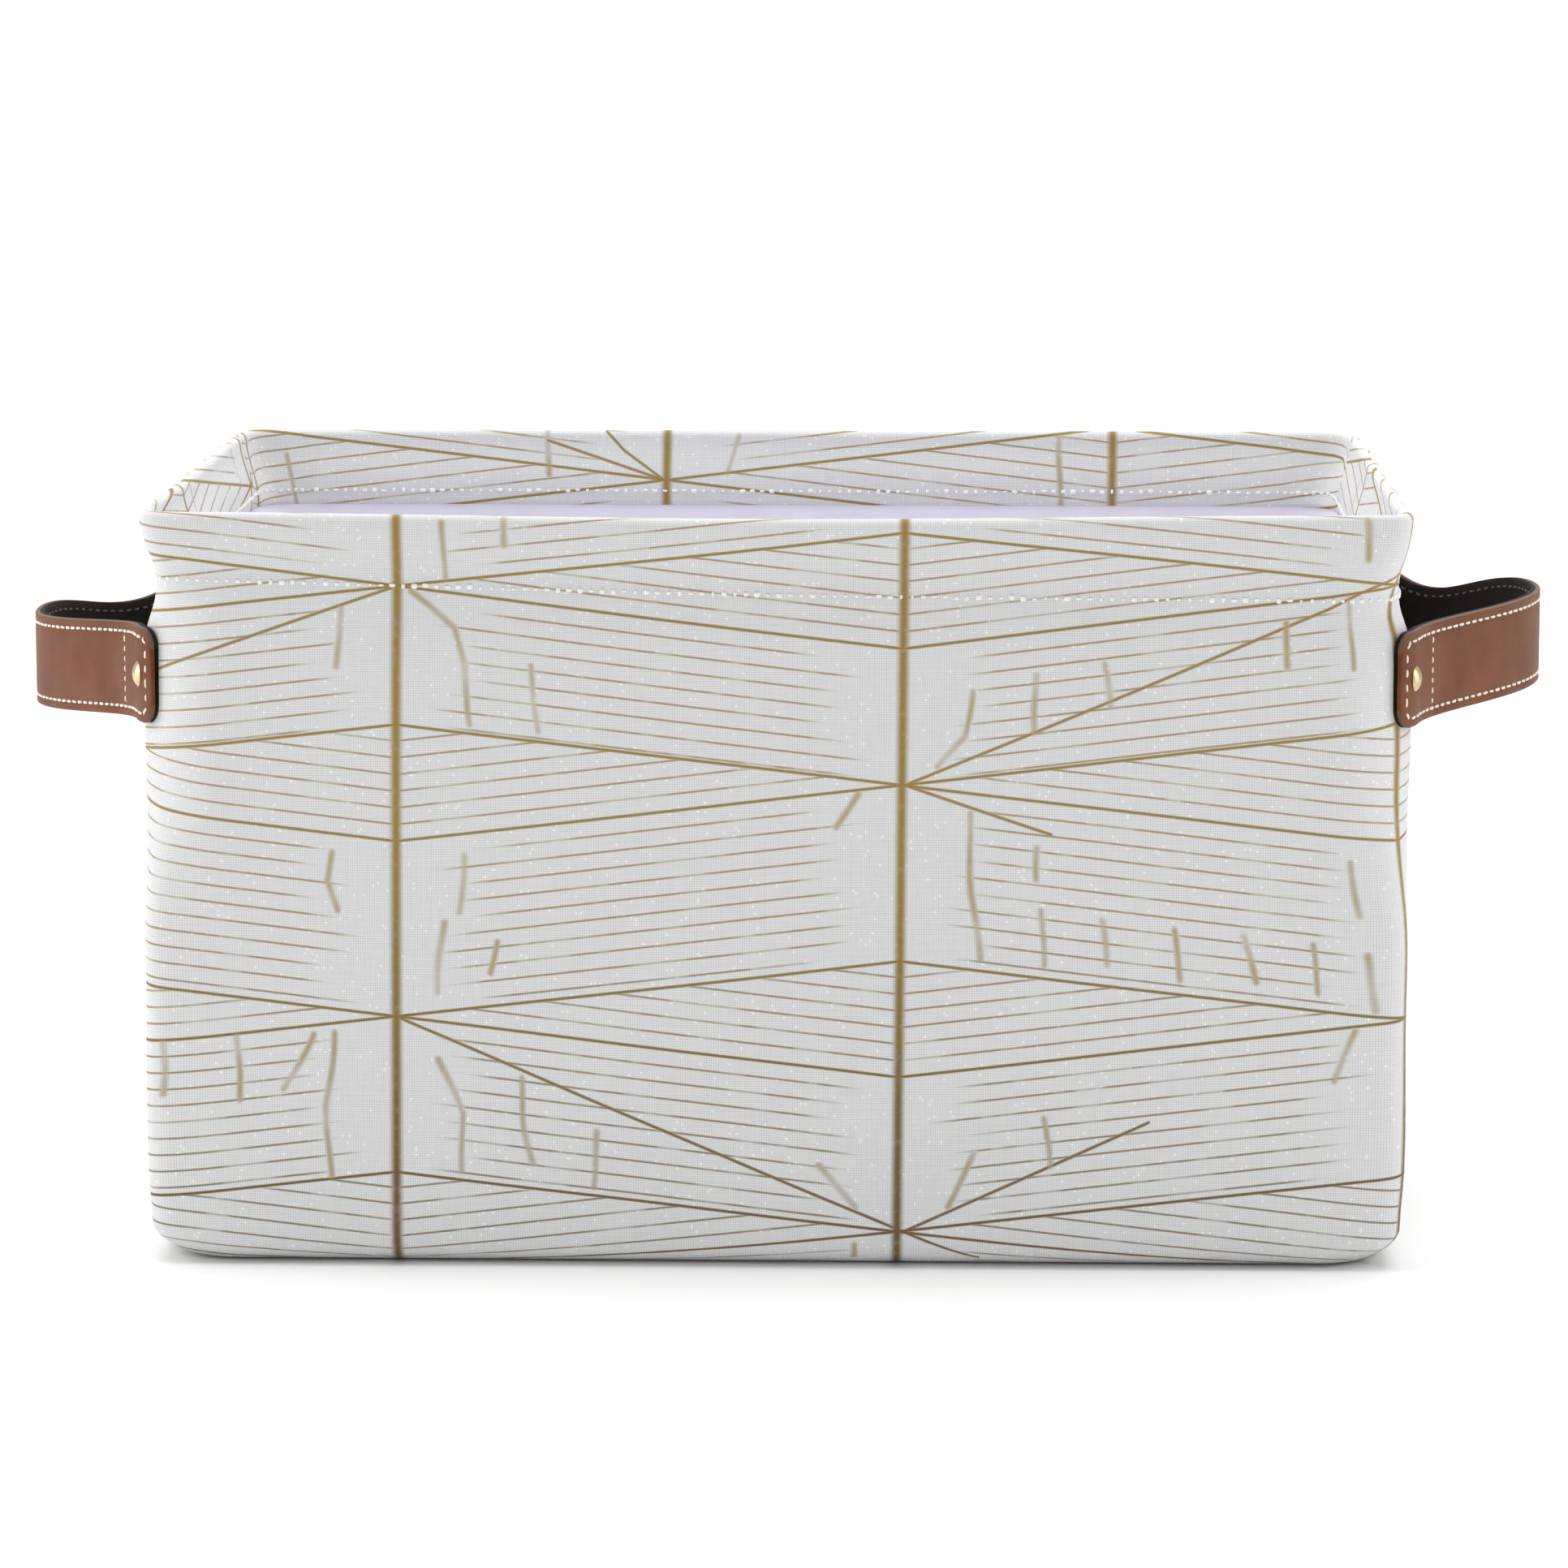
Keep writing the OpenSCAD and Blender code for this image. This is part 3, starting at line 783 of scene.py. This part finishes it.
def wall_layer(node, name, path, around, depth, thick, finish):
    """A lining or padding piece this deep in the wall, clear of its neighbours by a hair."""
    outer = layer_grid(path, around, depth + clear)
    inner = layer_grid(path, around, depth + thick - clear)
    flat_up = np.array([cloth_height(*p) for p in path])
    columns = len(around)

    def flat(corners):
        return np.stack([around[corners % columns], flat_up[corners // columns]], axis=-1)

    return fit(cloth(name, outer, inner, flat), node, finish)


for wall, around in around_walls.items():
    lining = wall_layer(wall + "_lining", wall + "_lining_cloth", lining_path, around,
                        lining_depth, lining_thick, lavender_lining)
for wall, around in padded_walls.items():
    padding = wall_layer(wall + "_padding", wall + "_foam", padding_path, around, canvas_thick,
                         padding_thick, foam_padding)

# %% [markdown]
# ## Base
# The base is canvas, padding and lining as well, cut to a rounded rectangle that meets the foot
# of the walls. A square grid would have to be trimmed at the round corners, so rings that shrink
# towards the middle make the mesh instead. It is flat, because it rests on the floor.

# %% Lay the base layers
def base_layer(node, name, bottom, thick, finish):
    """A flat layer: rings for its underside, rings for its top, and a border between."""
    around = steps_between(-halfway, halfway, 6 * MM)[:-1]
    x, y, nx, ny, _ = outline(around)
    reach = corner_radius - foot_radius
    edge = np.stack([x + nx * reach, y + ny * reach], axis=-1)
    rings = np.concatenate([np.linspace(1, 0.9, 4), np.linspace(0.8, 0.08, 10)])
    columns, points = len(around), []
    for height in (bottom + clear, bottom + thick - clear):
        for share in rings:
            points.append(np.column_stack([edge * share, np.full(columns, height)]))
    points = np.concatenate(points)
    faces, half = [], len(rings) * columns
    for i in range(len(rings) - 1):
        for c in range(columns):
            a, b = i * columns + c, i * columns + (c + 1) % columns
            faces.append((a, a + columns, b + columns, b))
            faces.append((half + a, half + b, half + b + columns, half + a + columns))
    last = (len(rings) - 1) * columns
    faces.append(tuple(last + c for c in range(columns))[::-1])
    faces.append(tuple(half + last + c for c in range(columns)))
    for c in range(columns):
        d = (c + 1) % columns
        faces.append((c, d, half + d, half + c))
    flat = [points[v][:2] for face in faces for v in face]
    return fit(solid(name, points, faces, flat), node, finish)


base_canvas = base_layer("base_panel", "base_canvas", 0.0, canvas_thick, printed_canvas)
base_foam = base_layer("base_padding", "base_foam", canvas_thick, padding_thick,
                       foam_padding)
base_lining = base_layer("base_lining", "base_lining_cloth", lining_depth, lining_thick,
                         lavender_lining)

# %% [markdown]
# ## Wire and its sleeve
# A steel wire in the fold keeps the rim straight, and a crimped sleeve joins its two ends at the
# back. A bevelled curve could draw it, but it has to follow the soft rim to the same fraction of
# a millimetre as the cloth, so it asks the wall for its path and is built from rings.

# %% Bend the rim wire
def ring_faces(rings, sides, start=0):
    """Faces round a row of rings of points, and one across each end."""
    last = start + (rings - 1) * sides
    faces = []
    for ring in range(start, last, sides):
        for k in range(sides):
            n = (k + 1) % sides
            faces.append((ring + k, ring + n, ring + sides + n, ring + sides + k))
    return faces + [tuple(range(start, start + sides))[::-1], tuple(range(last, last + sides))]


def tube(name, centres, radius, sides=8):
    """Round tube along a path, from simple rings square to it."""
    ahead = np.roll(centres, -1, axis=0) - np.roll(centres, 1, axis=0)
    ahead[0], ahead[-1] = centres[1] - centres[0], centres[-1] - centres[-2]
    ahead /= np.linalg.norm(ahead, axis=1)[:, None]
    side = np.cross(ahead, (0.0, 0.0, 1.0))
    side /= np.linalg.norm(side, axis=1)[:, None]
    over = np.cross(side, ahead)
    turn = np.linspace(0, 2 * np.pi, sides, endpoint=False)
    ring = (np.cos(turn)[None, :, None] * side[:, None]
            + np.sin(turn)[None, :, None] * over[:, None]) * radius
    points = (centres[:, None] + ring).reshape(-1, 3)
    faces = [face[:1] + face[:0:-1] for face in ring_faces(len(centres), sides)]
    return solid(name, points, faces)


def metal_finish(name, colour, rough, shade):
    """Metal with stains and fine drawn lines."""
    f = Finish(name)
    place = f.on_piece()
    stain = f.noise(place, 0.35, 4.0)
    f.set(Base_Color=f.mix(f.ramp(stain, 0.35, 0.7), colour, shade), Metallic=1.0,
          Roughness=f.ramp(stain, 0.25, 0.75, rough, rough + 0.15))
    f.bump(f.noise(f.vector("MULTIPLY", place, (1, 1, 5)), 2.5, 3.0), 0.06, 0.1 * MM)
    return f


steel = metal_finish("steel_wire", (0.62, 0.62, 0.64), 0.28, (0.45, 0.45, 0.46))
brass = metal_finish("brushed_brass", (0.66, 0.52, 0.31), 0.24, (0.42, 0.31, 0.16))
wire_radius, wire_gap = 1.0 * MM, 0.5 * MM
sleeve_radius, sleeve_length = 1.33 * MM, 16 * MM


def rim_path(start, end, step):
    """Places along the middle of the hem's fold."""
    around = steps_between(start, end, step)
    return wall_point(around, hem_radius, np.full_like(around, fold_height))


wire = tube("bent_wire", rim_path(-halfway + wire_gap / 2, halfway - wire_gap / 2, 5 * MM),
            wire_radius)
sleeve = tube("crimped_sleeve", rim_path(halfway - sleeve_length / 2,
                                         halfway + sleeve_length / 2, 1 * MM),
              sleeve_radius, sides=16)
fit(wire, "rim_wire", steel)
fit(sleeve, "wire_ferrule", steel)

# %% [markdown]
# ## Stitches
# A lockstitch shows as a row of short bright threads that dive into the cloth at both ends.
# An array modifier could repeat one stitch along a curve, but then all would be alike, and thread
# tension is never quite even. So each stitch is a small arched bar with a length, lean and height
# of its own, and a whole row is one mesh.

# %% Make a row of stitches
chance = np.random.default_rng(7)


def unit(v):
    """The same direction with a length of 1."""
    return v / np.linalg.norm(v, axis=-1, keepdims=True)


def stitch_row(name, places, along, out, length, width, height, finish, body="bin",
               lean=0.06, uneven=0.12):
    """Bars centred on these places, lying along one direction and standing out in another."""
    count, sides = len(places), 7
    side = unit(np.cross(out, along))
    along = unit(along + side * chance.normal(0, lean, (count, 1)))
    size = 1 + chance.normal(0, uneven, (count, 3)).clip(-0.4, 0.4)
    stops = np.array([-0.5, -0.42, -0.25, 0.0, 0.25, 0.42, 0.5])
    thick = np.array([0.35, 0.75, 0.97, 1.0, 0.97, 0.75, 0.35])
    arch = np.array([-0.5, -0.05, 0.3, 0.4, 0.3, -0.05, -0.5])
    turn = np.linspace(0, 2 * np.pi, sides, endpoint=False)
    run = stops[None, :, None] * length * size[:, 0, None, None]
    wide = np.cos(turn)[None, None] * thick[None, :, None] * width / 2 * size[:, 1, None, None]
    tall = (np.sin(turn)[None, None] * thick[None, :, None] * height / 2 * size[:, 2, None, None]
            + arch[None, :, None] * height)
    points = (places[:, None, None] + along[:, None, None] * run[..., None]
              + side[:, None, None] * wide[..., None] + out[:, None, None] * tall[..., None])
    rings = len(stops)
    faces = [face for i in range(count) for face in ring_faces(rings, sides, i * rings * sides)]
    piece = solid(name, points.reshape(-1, 3), faces)
    wear(piece, finish)
    if body:
        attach(piece, body)
    print(f"{name}: {count} stitches of about {1e3 * length:.1f} mm")
    return piece


def thread_finish(name, colour, shade):
    """Thread with a twist that runs slantwise round it."""
    f = Finish(name)
    place = f.on_piece()
    twist = f.add("TexWave", bands_direction="DIAGONAL")
    f.feed(twist.inputs["Vector"], place)
    twist.inputs["Scale"].default_value = 0.9
    f.set(Base_Color=f.mix(twist.outputs["Fac"], colour, shade), Roughness=0.5,
          Sheen_Weight=0.3, Sheen_Roughness=0.35)
    f.bump(twist.outputs["Fac"], 0.4, 0.15 * MM)
    return f


white_thread = thread_finish("white_thread", (0.97, 0.97, 0.95), (0.88, 0.88, 0.86))
cream_thread = thread_finish("cream_thread", (0.93, 0.86, 0.78), (0.78, 0.68, 0.58))
dark_thread = thread_finish("dark_thread", (0.09, 0.06, 0.05), (0.05, 0.035, 0.03))
print("white thread for the hem, cream and dark for the straps")

# %% [markdown]
# ## Hem row
# One row of white stitches goes right round, through the outside and the facing. It wanders a
# little in height, as on the real bin, so the stitches ask for the same row height as the wall
# that they draw in.

# %% Sew the hem
hem_pitch, wander, hem_lift = 3.45 * MM, 0.12 * MM, 0.12 * MM
hem_length, hem_width, hem_height = 1.5 * MM, 1.25 * MM, 0.8 * MM
hem_count = round(2 * halfway / hem_pitch)
hem_around = (np.arange(hem_count) + 0.5) * 2 * halfway / hem_count - halfway


def hem_stitches(name, inset, outward):
    """The hem's row as it shows on one side of the cloth."""
    z = stitch_height(hem_around) + chance.normal(0, wander, hem_count)
    here = wall_point(hem_around, inset, z)
    ahead = wall_point(hem_around + 1 * MM, inset, z)
    _, _, nx, ny, _ = outline(hem_around)
    out = np.stack([nx, ny, 0 * nx], axis=-1) * outward
    stitch_row(name, here + out * hem_lift, unit(ahead - here), out, hem_length, hem_width,
               hem_height, white_thread, uneven=0.3)


hem_stitches("hem_stitches_outside", 0.0, 1)
hem_stitches("hem_stitches_inside", 2 * hem_radius, -1)

# %% [markdown]
# ## Strap handles
# Each handle is one brown leather strip with a black strip sewn behind it. It is wrapped round
# an upright corner, riveted, bows out from the end wall and comes back to the other corner. A
# curve modifier could bend a straight strap, but its stitches would have to be bent along with
# it. So a strap's shape is given in flat strap terms: how far along, how far across and how
# deep. Stitches laid out in the same terms then land on the leather.

# %% Find the path of a strap
backing_thick, leather_thick = 1.4 * MM, 1.6 * MM
strap_width = (high("left_front_tab") - low("left_front_tab"))[2]
strap_bow = high("right_strap")[0] - half_width - backing_thick - leather_thick
tab_wrap, leaves_at = math.radians(40), math.radians(12)
end_round = 6 * MM
seat_gap = 0.04 * MM
back_sag = 10 * MM
sag_lag = {"left": 1.3, "right": 1.6}
strap_sag = {"left": 9 * MM, "right": 0.0}


class StrapPath:
    """Runs from the front tab's cut end to the back tab's, on the wall side of the strap."""

    def __init__(self, side):
        turn = np.linspace(tab_wrap, leaves_at, 25)[:-1]
        seat = corner_radius + seat_gap
        front = np.column_stack([core_x + seat * np.cos(turn), -core_y - seat * np.sin(turn)])
        start_x, start_y = seat * math.cos(leaves_at), core_y + seat * math.sin(leaves_at)
        bow = seat + strap_bow - start_x
        straight = math.tan(leaves_at) * start_y / (2 * bow)
        y = np.linspace(-start_y, start_y, 241)
        swell = 1 - (y / start_y) ** 2
        stand = bow * (straight * swell + (1 - straight) * swell ** 2)
        loop = np.column_stack([core_x + start_x + stand, y])
        back = front[::-1] * (1, -1)
        path = np.concatenate([front, loop, back])
        sag = np.zeros(len(path))
        sag[len(front):-len(back)] = (
            strap_sag[side] * stand / bow
            + back_sag * np.sin(np.pi * (y / start_y).clip(0, 1) ** sag_lag[side]) ** 2)
        step = np.linalg.norm(np.diff(path, axis=0), axis=1)
        self.along = np.concatenate([[0], np.cumsum(step)])
        self.path, self.sag = path, sag
        ahead = np.gradient(path, self.along, axis=0)
        ahead /= np.linalg.norm(ahead, axis=1)[:, None]
        self.out = np.column_stack([ahead[:, 1], -ahead[:, 0]])
        self.length = self.along[-1]
        self.mirror = -1 if side == "left" else 1

    def at(self, values, along):
        return np.interp(along, self.along, values)

    def place(self, along, across, depth):
        """Point on the strap: across is up from its middle, depth out from its wall side."""
        x = self.at(self.path[:, 0], along) + depth * self.at(self.out[:, 0], along)
        y = self.at(self.path[:, 1], along) + depth * self.at(self.out[:, 1], along)
        z = tab_height + across - self.at(self.sag, along)
        return np.stack(np.broadcast_arrays(self.mirror * x, y, z), axis=-1)


paths = {side: StrapPath(side) for side in ("left", "right")}
print(f"each strap is {1e3 * paths['left'].length:.0f} mm long, {1e3 * strap_width:.0f} mm wide")

# %% [markdown]
# ## Leather
# Split leather has a fine pebbled grain, pores, soft clouds of colour and creases across the
# strap. Noise alone looks like plaster, so the pebbles come from the borders between the cells of
# a Voronoi texture. The cut edge is a raw, paler brown.

# %% Mix the leathers
def leather_finish(name, colour, worn, edge, rough, coat):
    """Grained leather in two shades, with a raw cut edge."""
    f = Finish(name)
    flat = f.on_cloth()
    _, across = f.across_and_up(flat)
    grain = f.add("TexVoronoi", feature="DISTANCE_TO_EDGE")
    f.feed(grain.inputs["Vector"], flat)
    grain.inputs["Scale"].default_value = 1.5
    pores = f.noise(flat, 3.2, 3.0)
    clouds = f.noise(flat, 0.045, 3.0)
    creases = f.noise(f.vector("MULTIPLY", flat, (0.35, 0.05, 1.0)), 1.0, 3.0)
    shade = f.mix(f.ramp(clouds, 0.3, 0.72), colour, worn)
    shade = f.mix(f.ramp(creases, 0.58, 0.75, 0.0, 0.3), shade, worn)
    shade = f.mix(f.ramp(pores, 0.35, 0.2, 0.0, 0.25), shade, (0.04, 0.02, 0.012))
    half = strap_width * 500
    rim = f.ramp(f.sum("ABSOLUTE", across), half - 0.5, half - 0.1)
    f.set(Base_Color=f.mix(rim, shade, edge),
          Roughness=f.ramp(pores, 0.2, 0.8, rough, rough + 0.15),
          Coat_Weight=coat, Coat_Roughness=0.35, Specular_IOR_Level=0.1)
    height = f.sum("ADD", f.ramp(grain.outputs["Distance"], 0.0, 0.25), pores)
    f.bump(f.sum("ADD", height, f.sum("MULTIPLY", creases, 1.5)), 0.22, 0.12 * MM)
    return f


brown_leather = leather_finish("brown_leather", (0.140, 0.045, 0.017), (0.178, 0.066, 0.028),
                               (0.16, 0.095, 0.065), 0.45, 0.03)
black_leather = leather_finish("black_leather", (0.007, 0.004, 0.003), (0.010, 0.006, 0.0045),
                               (0.018, 0.013, 0.010), 0.6, 0.0)
print("brown leather outside, black leather against the wall")

# %% [markdown]
# ## Cutting the straps
# A strap cut from a box would have knife edges. The real edges are rubbed round, and the thread
# is pulled into a shallow groove, so a section with both is swept along the path. It narrows
# over the last few millimetres to give the cut ends round corners.

# %% Cut the straps
stitch_margin = 3 * MM
sewn_at = strap_width / 2 - stitch_margin
edge_round, end_rub = 0.55 * MM, 0.3 * MM
groove_depth, groove_width = 0.28 * MM, 0.7 * MM


def strap_profile(inner, outer, rounded):
    """Section of one strip: grooved outer face, round upper edge, flat back, round lower edge."""
    half, r = strap_width / 2, rounded
    over = np.concatenate([np.linspace(-half + r, -sewn_at - 0.9 * MM, 2),
                           np.linspace(-sewn_at - 0.5 * MM, -sewn_at + 0.5 * MM, 3),
                           np.linspace(-sewn_at + 1.0 * MM, sewn_at - 1.0 * MM, 9),
                           np.linspace(sewn_at - 0.5 * MM, sewn_at + 0.5 * MM, 3),
                           np.linspace(sewn_at + 0.9 * MM, half - r, 2)])
    groove = groove_depth * np.exp(-((np.abs(over) - sewn_at) / groove_width) ** 2)
    top = np.column_stack([over, outer - groove])
    bend = np.linspace(0, np.pi / 2, 5)[1:]
    upper = np.column_stack([half - r + r * np.sin(bend), outer - r + r * np.cos(bend)])
    lower = (upper * (-1, 1))[::-1]
    under = np.column_stack([np.linspace(half, -half, 9), np.full(9, inner)])
    return np.concatenate([top, upper, under, lower])


def end_shape(path, along):
    """How wide the strap is here, as a share of its width: its cut ends have round corners."""
    from_end = np.minimum(along, path.length - along).clip(0, end_round)
    cut = end_round - np.sqrt(end_round ** 2 - (end_round - from_end) ** 2)
    return 1 - cut / (strap_width / 2)


def strap_layer(side, name, inner, outer, finish, stands_for):
    """One strip of leather from cut end to cut end, between two depths."""
    path = paths[side]
    near = np.array([0, 0.25, 0.7, 1.4, 2.4, 3.6, 4.8, 6]) * MM
    middle = steps_between(near[-1], path.length - near[-1], 2 * MM)[1:-1]
    along = np.concatenate([near, middle, path.length - near[::-1]])
    profile = strap_profile(inner, outer, edge_round)
    across = profile[None, :, 0] * end_shape(path, along)[:, None]
    # A cut end is rubbed round as well
    rub = end_rub * np.exp(-np.minimum(along, path.length - along) / (0.5 * MM))[:, None]
    depth = np.clip(profile[None, :, 1] - rub, inner, outer)
    points = path.place(along[:, None], across, depth)
    rows, columns = points.shape[:2]
    faces = ring_faces(rows, columns)
    if side == "right":
        faces = [face[::-1] for face in faces]
    places = np.stack(np.broadcast_arrays(along[:, None], profile[None, :, 0]), -1).reshape(-1, 2)
    flat = [places[v] for face in faces for v in face]
    piece = solid(name, points.reshape(-1, 3), faces, flat)
    wear(piece, finish)
    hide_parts(*stands_for)
    swing(piece)
    measure(piece)


def swing(piece):
    """Apply the piece's placement to its mesh; the strap stays as it was built."""
    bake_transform(piece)


for side in ("left", "right"):
    for layer, inner, outer, finish, slot in (
            ("", backing_thick, backing_thick + leather_thick, brown_leather, "brown_leather"),
            ("_backing", 0.0, backing_thick, black_leather, "black_leather")):
        nodes = [f"{side}_strap{layer}", f"{side}_front_tab{layer}", f"{side}_back_tab{layer}"]
        strap_layer(side, nodes[0] + "_leather", inner, outer, finish, nodes)

# %% [markdown]
# ## Saddle stitches on the straps
# A thick cream thread runs round the whole strap, 3 mm in from its edge, and one row crosses
# it where the strap leaves the wall. The same holes show on the black side as short dark
# threads. The rows are laid out flat first, and then follow the strap however it bends.

# %% Sew the straps
def walk(corners, pitch):
    """Even places along a flat path of corner points, and the direction at each."""
    corners = np.array(corners, float)
    run = np.linalg.norm(np.diff(corners, axis=0), axis=1)
    total = np.concatenate([[0], np.cumsum(run)])
    count = round(total[-1] / pitch)
    middle = (np.arange(count) + 0.5) * total[-1] / count

    def point(distance):
        return np.column_stack([np.interp(distance, total, corners[:, k]) for k in (0, 1)])

    return point(middle), point(middle + 0.2 * MM) - point(middle - 0.2 * MM)


def round_the_end(path):
    """Flat path of the sewing round the strap, once."""
    bend = np.linspace(0, np.pi / 2, 6)
    r = end_round - stitch_margin
    start = stitch_margin
    up = np.column_stack([start + r - r * np.cos(bend), sewn_at - r + r * np.sin(bend)])
    down = (up * (1, -1))[::-1]
    half = np.concatenate([up, up[::-1] * (-1, 1) + (path.length, 0)])
    return np.concatenate([down[-1:], half, (half * (1, -1))[::-1], down[-1:]])


def strap_stitches(side, name, flat_path, pitch, length, depth, outward, finish, width):
    """A row along a flat path, this deep in the strap."""
    path = paths[side]
    place, run = walk(flat_path, pitch)
    here = path.place(place[:, 0], place[:, 1], depth)
    ahead = path.place(place[:, 0] + run[:, 0], place[:, 1] + run[:, 1], depth)
    above = path.place(place[:, 0], place[:, 1], depth + 1 * MM)
    out = unit(above - here) * outward
    row = stitch_row(name, here, unit(ahead - here), out, length, width, thread_height, finish,
                     body=None, lean=0.05, uneven=0.08)
    swing(row)


cross_at, cross_margin = 31 * MM, 0.8 * MM
thread_height, thread_sunk = 0.62 * MM, 0.22 * MM
edge_pitch = 4.6 * MM
for side in ("left", "right"):
    path = paths[side]
    outside = backing_thick + leather_thick - thread_sunk
    across_path = [[(a, -sewn_at + cross_margin), (a, sewn_at - cross_margin)]
                   for a in (cross_at, path.length - cross_at)]
    rows = [("edge", round_the_end(path), edge_pitch, 3.1 * MM)]
    rows += [(end, flat, 3.4 * MM, 2.4 * MM)
             for end, flat in zip(("front_cross", "back_cross"), across_path)]
    for row, flat, pitch, length in rows:
        strap_stitches(side, f"{side}_{row}_stitches", flat, pitch, length, outside, 1,
                       cream_thread, 0.95 * MM)
    strap_stitches(side, f"{side}_inner_stitches", round_the_end(path), edge_pitch, 2.6 * MM,
                   0.12 * MM, -1, dark_thread, 0.7 * MM)

# %% [markdown]
# ## Rivets and washers
# Their CAD shapes are right as they are, turned brass with a domed head, so only the finish is
# added: brushed metal that is duller where it has been handled.

# %% Finish the metal and the board
def fibre_board_finish():
    """Grey-brown board pressed from fibres, which lie mostly one way."""
    f = Finish("fibre_board")
    place = f.on_piece()
    fibres = f.noise(f.vector("MULTIPLY", place, (0.3, 1.2, 1.0)), 1.1, 4.0)
    f.set(Base_Color=f.mix(fibres, (0.30, 0.22, 0.14), (0.44, 0.35, 0.24)), Roughness=0.85)
    f.bump(fibres, 0.3, 0.2 * MM)
    return f


for node in ("left_rivets", "right_rivets", "left_washers", "right_washers"):
    wear(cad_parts[node], brass)
wear(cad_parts["base_board"], fibre_board_finish())
print("brass on the rivets and washers, fibre board under its cover")

# %% [markdown]
# ## Cover of the base board
# A stiff board lies in the bin in a close cover of lining cloth. A cushion's simulation would
# swell it too far, because there is only a board in it. So the cover is a thin bag of rings with
# an outside and an inside, rounded at its edges, with a soft swell over its top.

# %% Sew the board's cover
def loft(insets, heights, around, swell):
    """Rings of a flat bag from the middle of its underside round to the middle of its top."""
    x, y, nx, ny, _ = outline(around)
    rings = []
    for (share, inset), z in zip(insets, heights):
        reach = cover_reach - inset
        px, py = (x + nx * reach) * share, (y + ny * reach) * share
        lift = swell * smooth(z, cover_low + 2 * MM, cover_high) * (
            np.sin(px * 41 + 1) * np.sin(py * 57 + 2) + 0.6 * np.sin(px * 23 - py * 31))
        rings.append(np.column_stack([px, py, z + lift]))
    return np.stack(rings)


cover_low, cover_high = low("board_cover")[2], high("board_cover")[2]
cover_reach = high("board_cover")[0] - core_x
cover_thick = low("base_board")[2] - cover_low
cover_edge, cover_swell = 1.4 * MM, 0.22 * MM
cover_around = steps_between(-halfway, halfway, 6 * MM)[:-1]
shares = [(s, 0.0) for s in np.linspace(0.06, 0.96, 11)]
side_turn = np.linspace(-np.pi / 2, np.pi / 2, 9)
cover_points, cover_faces = [], []
for skin, inward in enumerate((0.0, cover_thick * 0.9)):
    edge = cover_edge - inward * 0.5
    bottom, top = cover_low + inward + 0.02 * MM, cover_high - inward
    insets = ([(s, inward + edge) for s, _ in shares]
              + [(1.0, inward + edge * (1 - math.cos(t))) for t in side_turn]
              + [(s, inward + edge) for s, _ in shares[::-1]])
    half_high, centre = (top - bottom) / 2, (top + bottom) / 2
    heights = ([bottom] * len(shares) + [centre + half_high * math.sin(t) for t in side_turn]
               + [top] * len(shares))
    rings = loft(insets, heights, cover_around, cover_swell)
    faces = ring_faces(len(rings), len(cover_around), len(cover_points))
    cover_points.extend(rings.reshape(-1, 3))
    cover_faces += [face[::-1] for face in faces] if skin else faces
cover_flat = [cover_points[v][:2] for face in cover_faces for v in face]
cover = solid("cover_cloth", cover_points, cover_faces, cover_flat)
fit(cover, "board_cover", lavender_lining, body="insert")
cover_size = high("board_cover") - low("board_cover")

# %% [markdown]
# ## Studio
# The bin stands on a plain pale floor that curves up behind it, so that no horizon shows. One
# strong lamp would throw hard shadows, so the light is soft and comes from all round. A broad
# light overhead whitens the floor and the rim, an even white sky fills the front, and a weak tall
# light on each side brightens the ends. That leaves the front a shade greyer than its edges.

# %% Light the studio
def paper_finish():
    """White paper with hardly visible clouds."""
    f = Finish("white_paper")
    place = f.add("TexCoord").outputs["Object"]
    f.set(Base_Color=f.mix(f.noise(place, 3.0), (0.93, 0.93, 0.93), (0.95, 0.95, 0.95)),
          Roughness=0.9)
    return f


floor_reach, curve_from, curve_radius, wall_top, floor_gap = 6.0, 1.6, 1.0, 5.0, 0.2 * MM


def backdrop():
    """Paper that lies on the floor and curves up behind the bin."""
    profile = [(-floor_reach, 0.0), (curve_from, 0.0)]
    profile += [(curve_from + curve_radius * math.sin(t), curve_radius * (1 - math.cos(t)))
                for t in np.linspace(0, math.pi / 2, 14)[1:]]
    profile.append((curve_from + curve_radius, wall_top))
    points = [(x, y, z - floor_gap) for y, z in profile for x in (-floor_reach, floor_reach)]
    faces = [(2 * i, 2 * i + 1, 2 * i + 3, 2 * i + 2) for i in range(len(profile) - 1)]
    paper = solid("paper_floor", points, faces)
    wear(paper, paper_finish())


def soft_light(name, place, aim, width, height, power):
    """A rectangle of light turned towards a point."""
    light = bpy.data.lights.new(name, "AREA")
    light.shape, light.size, light.size_y, light.energy = "RECTANGLE", width, height, power
    lamp = bpy.data.objects.new(name, light)
    lamp.location = place
    lamp.rotation_euler = (Vector(aim) - Vector(place)).to_track_quat("-Z", "Y").to_euler()
    bpy.context.scene.collection.objects.link(lamp)


backdrop()
soft_light("overhead_light", (0.0, 0.5, 2.4), (0.0, 0.0, 0.1), 3.0, 3.0, 60)
soft_light("left_light", (-1.5, -0.1, 0.7), (0.0, 0.0, 0.12), 0.8, 1.4, 10)
soft_light("right_light", (1.5, -0.1, 0.7), (0.0, 0.0, 0.12), 0.8, 1.4, 6)
sky = bpy.data.worlds.new("studio")
bpy.context.scene.world = sky
sky.use_nodes = True
white_sky = sky.node_tree.nodes["Background"].inputs
white_sky["Color"].default_value = (1, 1, 1, 1)
white_sky["Strength"].default_value = 0.62
bpy.context.scene.view_settings.view_transform = "Standard"
print("three soft lights and a sky of strength", round(white_sky["Strength"].default_value, 2))
